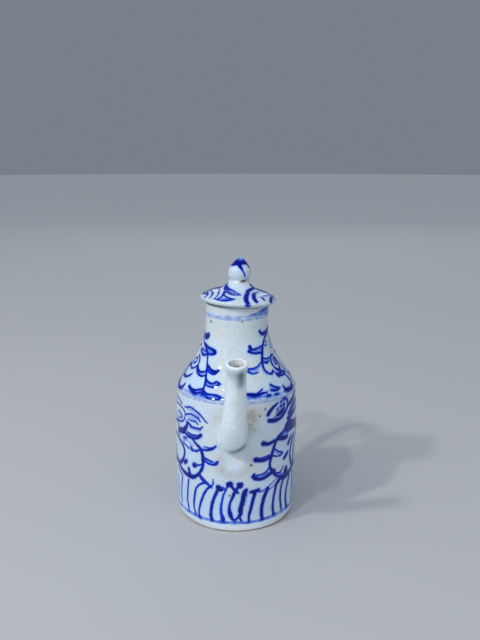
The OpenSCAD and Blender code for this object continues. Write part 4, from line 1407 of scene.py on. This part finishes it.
# %% Knob
BALL_Z = STEM_Z + 4.3
BALL_R = knob_high.x / MM
TIP_Z = knob_high.z / MM
BALL_TOP = math.radians(30)
TIP_POWER = 0.66
TIP_LEAN = 0.22        # how far the point leans, in millimetres
WAIST_R = 5.6
KNOB_STEPS = 160
shoulder_r = BALL_R * math.cos(BALL_TOP)
shoulder_z = BALL_Z + BALL_R * math.sin(BALL_TOP)


def knob_radius(z):
    """Outer radius of the knob at a height, in millimetres."""
    if z < shoulder_z:
        return math.sqrt(max(0, BALL_R ** 2 - (z - BALL_Z) ** 2))
    return shoulder_r * max(0, 1 - (z - shoulder_z) / (TIP_Z - shoulder_z)) ** TIP_POWER


ball_start = -math.acos(WAIST_R / BALL_R)
knob_outline = [(0, STEM_Z - 0.6), (4.4, STEM_Z - 0.6), (STEM_R - 0.03, STEM_Z),
                (WAIST_R + 0.08, STEM_Z + 0.3)]
knob_outline += [(BALL_R * math.cos(a), BALL_Z + BALL_R * math.sin(a))
                 for a in steps_between(ball_start, BALL_TOP, 0.06)]
knob_outline += [(knob_radius(z), z) for z in steps_between(shoulder_z, TIP_Z - 0.5, 0.35)[1:]]
knob_outline += [(knob_radius(TIP_Z - 0.25) * 0.9, TIP_Z - 0.22), (0.3, TIP_Z - 0.03), (0, TIP_Z)]
knob_bm = throw(knob_outline, KNOB_STEPS)
for v in knob_bm.verts:
    v.co.x += TIP_LEAN * MM * max(0, (v.co.z / MM - shoulder_z) / (TIP_Z - shoulder_z))
knob = finish_mesh(knob_bm, "knob_bud")

# %% Steam hole
STEAM_ANGLE = math.radians(26)      # how far to the right of the spout it is
STEAM_OUT = 6.2                     # how far it is from the axis
STEAM_LEAN = math.radians(38)       # how far the blade was tilted towards the knob
STEAM_W, STEAM_FLAT, STEAM_LENGTH = 2.0, 0.2, 19    # half width, flatness and length of the rod
STEAM_AT = (STEAM_OUT * math.sin(STEAM_ANGLE), -STEAM_OUT * math.cos(STEAM_ANGLE), STEM_Z + 0.3)
for piece in (lid, knob):
    steam = bmesh.new()
    rod(steam, STEAM_AT, STEAM_W, STEAM_LENGTH,
        Matrix.Rotation(STEAM_ANGLE, 4, "Z") @ Matrix.Rotation(STEAM_LEAN, 4, "X")
        @ Matrix.Diagonal((1, STEAM_FLAT, 1, 1)))
    cut(piece, steam, "steam")

# %% Brush the lid and the knob
knob_strokes = [
    wheel_line(0.95, 152.4, 1.35, 0.5, 5),
    (0.95, (-110, 150.8, 0.9), (-64, 150.7, 0.75), (-42, 151.1, 0.7), (-18, 151.8, 0.7)),
    (1.0, (-20, 152, 0.9), (-4, 150.9, 0.9), (6, 149.8, 0.75)),
    (0.75, (6, 149.8, 0.7), (11, 149, 0.65), (16, 148, 0.55)),
    (0.4, (16, 148, 0.5), (24, 146.4, 0.55), (27, 145, 0.5)),
    (0.95, (50, 152.8, 0.5), (64, 151.2, 0.45), (74, 149.9, 0.5), (100, 150.1, 0.8),
     (150, 150.6, 0.9), (190, 150, 1.0), (230, 150.8, 0.9), (252, 150.6, 0.9)),
]
# painted highlight: a thin pale wash over the very point, above the dark cap
painted_tip_highlight = [wheel_line(0.3, 154.2, 1.1, 0.1, 9)]
brush(lid, "ink", on_wall(lid_radius, front_and_back(lid_right + lid_left)))
brush(lid, "wash", on_wall(lid_radius, front_and_back(lid_wash)))
brush(knob, "ink", on_wall(knob_radius, knob_strokes))
brush(knob, "wash", on_wall(knob_radius, painted_tip_highlight))

# %% [markdown]
# ## Settling
# With the brushwork stored on them, lid and knob now take the small lean that they have on the
# pot. Each is still one closed mesh at the origin, and only its vertices have moved.

# %% Settle lid and knob
for piece in (lid, knob):
    piece.data.transform(LID_SETTLE)
print("lid top", round(max(v.co.z for v in knob.data.vertices) / MM, 2), "mm")

# %% [markdown]
# ## Bare clay, rust and painted shade
# Where pot and lid would have fired together, and where the pot stood, the glaze was wiped off.
# Each vertex stores how far it lies inside the glaze, so the material can fray that edge. A
# little rust lies inside the spout's lip. The mouths of the steam hole and the bore are darkened
# as painted shade, and slate-grey spots on the spout are painted shade under its lip, down its
# right side and round the bottom of its bulb.

# %% Bare clay
ALL_GLAZED = 3         # millimetres inside the glaze, where no edge is near
PLAIN_TINT = 0.3       # the breath of cobalt on the pieces that have no spots of it
# how far inside the glaze a place at radius r and height z is, in millimetres
GLAZE_EDGES = [
    (belly, lambda r, z: max(z - 0.75, 27.8 - r) if z < 3 else ALL_GLAZED),
    (shoulder, lambda r, z: 129.3 - z if r > 17.4 else 126.3 - z),
    (lid, lambda r, z: ALL_GLAZED if r < 13.6 else z - 129.25),
]
for piece, inside in GLAZE_EDGES:
    keep(piece, "glazed", [inside(math.hypot(x, y), z) for x, y, z in vertex_places(piece)])


def keep_all(piece, name, value):
    """Stores the same number on every vertex."""
    keep(piece, name, np.full(len(piece.data.vertices), value))


for piece in (spout, handle, knob):
    keep_all(piece, "glazed", ALL_GLAZED)
for piece in (handle, lid, knob):
    keep_all(piece, "tinted", PLAIN_TINT)
for name, value in (("stain", 0), ("wash", REACH), ("wash_load", 0)):
    keep_all(handle, name, value)
print("unglazed edges on", [piece.name for piece, _ in GLAZE_EDGES])

# %% Rust and painted shade
def near_to(piece, place, radius, sharp=1, tall=1.0):
    """1 at a place in millimetres, falling softly to 0 about radius away from it."""
    away = (vertex_places(piece) - np.array(place)) / (radius, radius, radius * tall)
    return np.exp(-(away ** 2).sum(1) ** sharp)


# painted shade: the mouth of the steam hole is darkened to iron, in lid and knob alike
steam_mouth = LID_SETTLE @ (Vector(STEAM_AT) * MM) / MM + Vector((0, 0, 0.25))
for piece in (lid, knob):
    keep(piece, "stain", 2.6 * near_to(piece, steam_mouth, radius=2.2, sharp=2, tall=0.17))
# a little rust inside the lip, and painted shade further down the bore, darkened to iron
inside_lip = 0.6 * near_to(spout, tip - tip_way * 1.5, radius=4.4, sharp=3)
painted_bore_shade = 2 * near_to(spout, tip - tip_way * 7.4, radius=3.4, sharp=3)
keep(spout, "stain", inside_lip + painted_bore_shade)
# painted shade on the spout, in slate grey, as (place, radius, strength): under the lip, round
# the bulb's bottom and down its right side
PAINTED_SPOUT_SHADE = [((3.1, -69.4, 105.2), 2.6, 0.9), ((3.3, -67.9, 101.6), 2.9, 0.8),
             ((3.1, -66.4, 98.2), 2.8, 0.55), ((-2.6, -69.4, 104.4), 4.0, 0.45),
             ((-1.8, -40.4, 51.4), 2.8, 0.9), ((1.5, -41.2, 52.2), 3.2, 1.15),
             ((4.3, -41.5, 54.2), 3.2, 1.1), ((6.8, -38.6, 60.7), 5.5, 0.35),
             ((6.5, -43.8, 66), 4.5, 0.22), ((6.1, -50.2, 76.2), 4.5, 0.2)]
keep(spout, "tinted", sum(strength * near_to(spout, place, radius)
                          for place, radius, strength in PAINTED_SPOUT_SHADE))
print("painted shade in", len(PAINTED_SPOUT_SHADE), "places of the spout")

# %% [markdown]
# ## Glaze and cobalt as node groups
# All six pieces wear the same glaze, so it is built once as a node group, and so is the cobalt
# that shows through it. A group takes in places and numbers and gives out a colour, a roughness
# or a height. The shader itself stays in each material, where its plain values are set.

# %% Glaze helpers
def srgb(red, green, blue):
    """A colour given on the usual 0 to 255 scale, as the linear values that shaders use."""
    return tuple(((c / 255 + 0.055) / 1.055) ** 2.4 if c > 10 else c / 3294.6
                 for c in (red, green, blue)) + (1.0,)


def cloud(tree, place, size, detail=2.0, rough=0.5):
    """Soft noise from 0 to 1 whose blobs are about size millimetres across."""
    node = tree.nodes.new("ShaderNodeTexNoise")
    feed(tree, node.inputs["Vector"], place)
    node.inputs["Scale"].default_value = 1 / (size * MM)
    node.inputs["Detail"].default_value = detail
    node.inputs["Roughness"].default_value = rough
    return node.outputs["Fac"]


def new_group(name, inputs, outputs):
    """An empty shader group with named sockets, as (tree, input sockets, output sockets)."""
    tree = bpy.data.node_groups.new(name, "ShaderNodeTree")
    for way, sockets in (("INPUT", inputs), ("OUTPUT", outputs)):
        for label, kind in sockets:
            tree.interface.new_socket(name=label, in_out=way, socket_type="NodeSocket" + kind)
    given, out = tree.nodes.new("NodeGroupInput"), tree.nodes.new("NodeGroupOutput")
    return tree, [given.outputs[label] for label, _ in inputs], out.inputs

# %% [markdown]
# ## The glaze
# The glaze was clear when it went on, and took a cool grey-blue from a little iron in a smoky
# kiln. It is never even: it drifts towards green-grey in patches, tiny iron specks came through
# from the clay, and rusty stains show where it was touched. Beside the spout the rust is darker
# still, as painted shadow of the spout. Between dense brushwork a breath of cobalt tints it
# blue. On the spout, slate grey is painted shade under the lip, down its right side and round the
# bulb, and the mouths of the steam hole and the bore are darkened to iron as painted shade. Where
# the pot stood and the lid sat, it was wiped off and the clay burned buff, with an orange line.

# %% Glaze group
FRECKLE = srgb(164, 152, 136)
SPECK = srgb(104, 88, 78)
PALE_GLAZE = srgb(232, 241, 250)
# rust darkened to carry painted shadow too, and iron that also paints the shade of the steam hole
# and the bore
RUST_AND_SHADE = srgb(156, 136, 110)
IRON_AND_SHADE = srgb(66, 54, 50)
BARE_CLAY = srgb(176, 162, 144), srgb(138, 118, 98)
BURNT_EDGE = srgb(150, 116, 88)
SPECK_CELL = 4.2       # size of the cells that may each hold one speck, in millimetres


def glaze_group():
    """The glaze with its patches, specks, stains and bare edges, as a node group."""
    tree, (place, cool, warm, tint, tinted, stain, glazed), out = new_group(
        "kiln_glaze",
        [("Place", "Vector"), ("Cool", "Color"), ("Warm", "Color"), ("Tint", "Color"),
         ("Tinted", "Float"), ("Stain", "Float"), ("Glazed", "Float")],
        [("Color", "Color"), ("Roughness", "Float"), ("Height", "Float")])
    patches = ramp(tree, cloud(tree, place, 17, 2.5), 0.34, 0.68)
    glaze = mix(tree, patches, cool, warm)
    mottle = ramp(tree, cloud(tree, place, 2.6, 4, 0.65), 0.30, 0.72, 0.94, 1.03)
    glaze = mix(tree, 1.0, glaze, mottle, "MULTIPLY")
    freckles = ramp(tree, cloud(tree, place, 0.9, 2, 0.5), 0.60, 0.74, 0.0, 0.45)
    glaze = mix(tree, freckles, glaze, FRECKLE)
    # the glaze under its Tint colour, by the stored amount: a breath of cobalt on the painted
    # pieces, painted shade on the spout
    deep = mix(tree, 1.0, glaze, tint, "MULTIPLY")
    glaze = mix(tree, calc(tree, "ADD", tinted, 0.0, True), glaze, deep)

    cells = tree.nodes.new("ShaderNodeTexVoronoi")
    feed(tree, cells.inputs["Vector"], place)
    cells.inputs["Scale"].default_value = 1 / (SPECK_CELL * MM)
    split = tree.nodes.new("ShaderNodeSeparateColor")
    feed(tree, split.inputs[0], cells.outputs["Color"])
    chance = split.outputs[0]
    size = ramp(tree, chance, 0.80, 1.0, 0.0, 0.075)
    speck = ramp(tree, calc(tree, "SUBTRACT", cells.outputs["Distance"], size),
                 -0.03, 0.02, 0.75, 0.0)
    speck = calc(tree, "MULTIPLY", speck, ramp(tree, chance, 0.78, 0.84))
    glaze = mix(tree, speck, glaze, SPECK)

    glaze = mix(tree, calc(tree, "MULTIPLY", stain, -0.8, True), glaze, PALE_GLAZE)
    # rust, which beside the spout is also painted shadow; past 1.1 iron, which is also painted
    # shade at the steam hole and down the bore
    blotchy = ramp(tree, cloud(tree, place, 2.6, 4, 0.7), 0.35, 0.7, 0.25, 1.5)
    glaze = mix(tree, calc(tree, "MULTIPLY", stain, blotchy, True), glaze, RUST_AND_SHADE)
    glaze = mix(tree, ramp(tree, stain, 1.1, 1.7, 0.0, 0.9), glaze, IRON_AND_SHADE)

    fray = ramp(tree, cloud(tree, place, 1.6, 3, 0.6), 0.2, 0.8, -0.3, 0.3)
    inside = calc(tree, "ADD", glazed, fray)
    bare = ramp(tree, inside, -0.12, 0.12, 1.0, 0.0)
    burnt = ramp(tree, calc(tree, "ABSOLUTE", inside), 0.0, 0.55, 0.5, 0.0)
    clay = mix(tree, ramp(tree, cloud(tree, place, 1.1, 4, 0.7), 0.3, 0.7), *BARE_CLAY)
    colour = mix(tree, burnt, mix(tree, bare, glaze, clay), BURNT_EDGE)
    feed(tree, out["Color"], colour)

    dull = ramp(tree, cloud(tree, place, 5, 3, 0.6), 0.3, 0.8, 0.045, 0.11)
    feed(tree, out["Roughness"], calc(tree, "ADD", dull, calc(tree, "MULTIPLY", bare, 0.6)))
    pits = calc(tree, "MULTIPLY", cloud(tree, place, 0.5, 2, 0.6),
                ramp(tree, bare, 0.0, 1.0, 0.03, 0.5))
    feed(tree, out["Height"], calc(tree, "ADD", cloud(tree, place, 4.5, 1, 0.4), pits))
    return tree


glaze_nodes = glaze_group()
print("glaze group", len(glaze_nodes.nodes), "nodes")

# %% [markdown]
# ## The cobalt
# Cobalt bleeds a little into the glaze, so a stroke is nearly black-blue where it is thick,
# bright in its thin parts, and has a pale violet-blue halo. Density is worked out first, from
# the edge distance, the load of the brush and a little noise, and then looked up in a colour
# ramp. Strokes and washes are added as two films of colour would add up.

# %% Cobalt group
COBALT = [(0.06, srgb(172, 194, 228)), (0.20, srgb(116, 150, 218)), (0.40, srgb(30, 84, 206)),
          (0.62, srgb(0, 38, 178)), (0.95, srgb(0, 12, 122))]


def cobalt_group():
    """Strokes, their halo and their washes over the colour of the ground, as a node group."""
    tree, (place, ground, ink, ink_load, wash, wash_load), out = new_group(
        "cobalt_brushwork",
        [("Place", "Vector"), ("Ground", "Color"), ("Ink", "Float"), ("Ink Load", "Float"),
         ("Wash", "Float"), ("Wash Load", "Float")],
        [("Color", "Color")])
    wobble = ramp(tree, cloud(tree, place, 1.3, 3, 0.6), 0.2, 0.8, -0.16, 0.16)
    edge = calc(tree, "ADD", ink, wobble)
    line = ramp(tree, edge, -0.17, 0.20, 1.0, 0.0)
    pool = ramp(tree, edge, -0.9, 0.1, 1.12, 0.80)
    grain = ramp(tree, cloud(tree, place, 1.9, 3, 0.65), 0.25, 0.75, 0.78, 1.12)
    film = calc(tree, "MULTIPLY", ink_load, calc(tree, "MULTIPLY", pool, grain))
    halo = calc(tree, "MULTIPLY", ramp(tree, edge, 0.0, 1.9, 0.22, 0.0), ink_load)

    ragged = ramp(tree, cloud(tree, place, 2.4, 3, 0.6), 0.2, 0.8, -0.25, 0.25)
    water = ramp(tree, calc(tree, "ADD", wash, ragged), -0.45, 0.55, 1.0, 0.0)
    uneven = ramp(tree, cloud(tree, place, 3.1, 3, 0.6), 0.25, 0.75, 0.55, 1.2)
    tinge = calc(tree, "MULTIPLY", water, calc(tree, "MULTIPLY", wash_load, uneven))

    clear = 1.0
    for layer in (calc(tree, "MULTIPLY", line, film), halo, tinge):
        clear = calc(tree, "MULTIPLY", clear, calc(tree, "SUBTRACT", 1.0, layer, True))
    density = calc(tree, "SUBTRACT", 1.0, clear, True)

    blues = tree.nodes.new("ShaderNodeValToRGB")
    feed(tree, blues.inputs["Fac"], density)
    stops = blues.color_ramp.elements
    stops[0].position, stops[0].color = COBALT[0]
    stops[1].position, stops[1].color = COBALT[-1]
    for position, colour in COBALT[1:-1]:
        stops.new(position).color = colour
    shown = ramp(tree, density, 0.0, 0.30)
    feed(tree, out["Color"], mix(tree, shown, ground, blues.outputs["Color"]))
    return tree


cobalt_nodes = cobalt_group()
print("cobalt group", len(cobalt_nodes.nodes), "nodes")

# %% [markdown]
# ## The two porcelains
# Belly, shoulder, handle, lid and knob share one painted material, which reads the stored
# distances. The spout carries no painting, so its material has only the glaze. Its colours are
# whiter than the body's as painted light, for the stronger light on the jutting spout, and it
# turns slate grey where painted shade lies on it.

# %% Materials
GLOSS = {"IOR": 1.5, "Specular IOR Level": 0.33}
BUMP = {"Strength": 0.5, "Distance": 0.12 * MM}


def stored(tree, name):
    """The number that each vertex stores under a name."""
    node = tree.nodes.new("ShaderNodeAttribute")
    node.attribute_name = name
    return node.outputs["Fac"]


def place_group(tree, group, stored_names, **values):
    """Puts a group in a tree, with values for some inputs and stored numbers for the others."""
    node = tree.nodes.new("ShaderNodeGroup")
    node.node_tree = group
    for label, value in values.items():
        feed(tree, node.inputs[label], value)
    for name in stored_names:
        feed(tree, node.inputs[name.replace("_", " ").title()], stored(tree, name))
    return node.outputs


def porcelain(name, cool, warm, tint, painted):
    """A glazed material in its own colours, with or without the brushwork."""
    mat = bpy.data.materials.new(name)
    mat.use_nodes = True
    tree = mat.node_tree
    shader = tree.nodes["Principled BSDF"]
    place = tree.nodes.new("ShaderNodeTexCoord").outputs["Object"]
    glaze = place_group(tree, glaze_nodes, ("tinted", "stain", "glazed"),
                        Place=place, Cool=cool, Warm=warm, Tint=tint)
    colour = glaze["Color"]
    if painted:
        colour = place_group(tree, cobalt_nodes, ("ink", "ink_load", "wash", "wash_load"),
                             Place=place, Ground=colour)["Color"]
    feed(tree, shader.inputs["Base Color"], colour)
    feed(tree, shader.inputs["Roughness"], glaze["Roughness"])
    bump = tree.nodes.new("ShaderNodeBump")
    for node, plain in ((shader, GLOSS), (bump, BUMP)):
        for label, value in plain.items():
            node.inputs[label].default_value = value
    feed(tree, bump.inputs["Height"], glaze["Height"])
    feed(tree, shader.inputs["Normal"], bump.outputs["Normal"])
    return mat


BREATH = (0.84, 0.99, 1.22, 1)      # what multiplies a glaze that took up a little cobalt
SHADE_SLATE = (0.20, 0.26, 0.30, 1)       # and painted shade on the spout, in slate grey
brushed_glaze = porcelain("brushed_glaze", srgb(201, 216, 230), srgb(203, 213, 214), BREATH,
                          True)
# whiter glaze colours as painted light on the spout, and slate grey for its painted shade
lit_white_glaze = porcelain("lit_white_glaze", srgb(235, 247, 255), srgb(227, 241, 252), SHADE_SLATE, False)
print("materials", brushed_glaze.name, lit_white_glaze.name)

# %% [markdown]
# ## Putting the pot in the frame
# Each finished piece stands for the plain solid of the same part, and rides with its body. The
# lid and its knob ride together, so they lift off as one.

# %% Dress the frame
DRESSED = [
    (belly, "belly", "pot", "painted_porcelain", brushed_glaze),
    (shoulder, "shoulder_neck", "pot", "painted_porcelain", brushed_glaze),
    (spout, "spout", "pot", "plain_porcelain", lit_white_glaze),
    (handle, "handle", "pot", "painted_porcelain", brushed_glaze),
    (lid, "lid", "lid", "painted_porcelain", brushed_glaze),
    (knob, "finial", "lid", "painted_porcelain", brushed_glaze),
]
for piece, node, body, slot, finish in DRESSED:
    piece.data.materials.clear()
    piece.data.materials.append(finish)
    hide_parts(node)
    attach(piece, body)
print("dressed", [piece.name for piece, *_ in DRESSED])
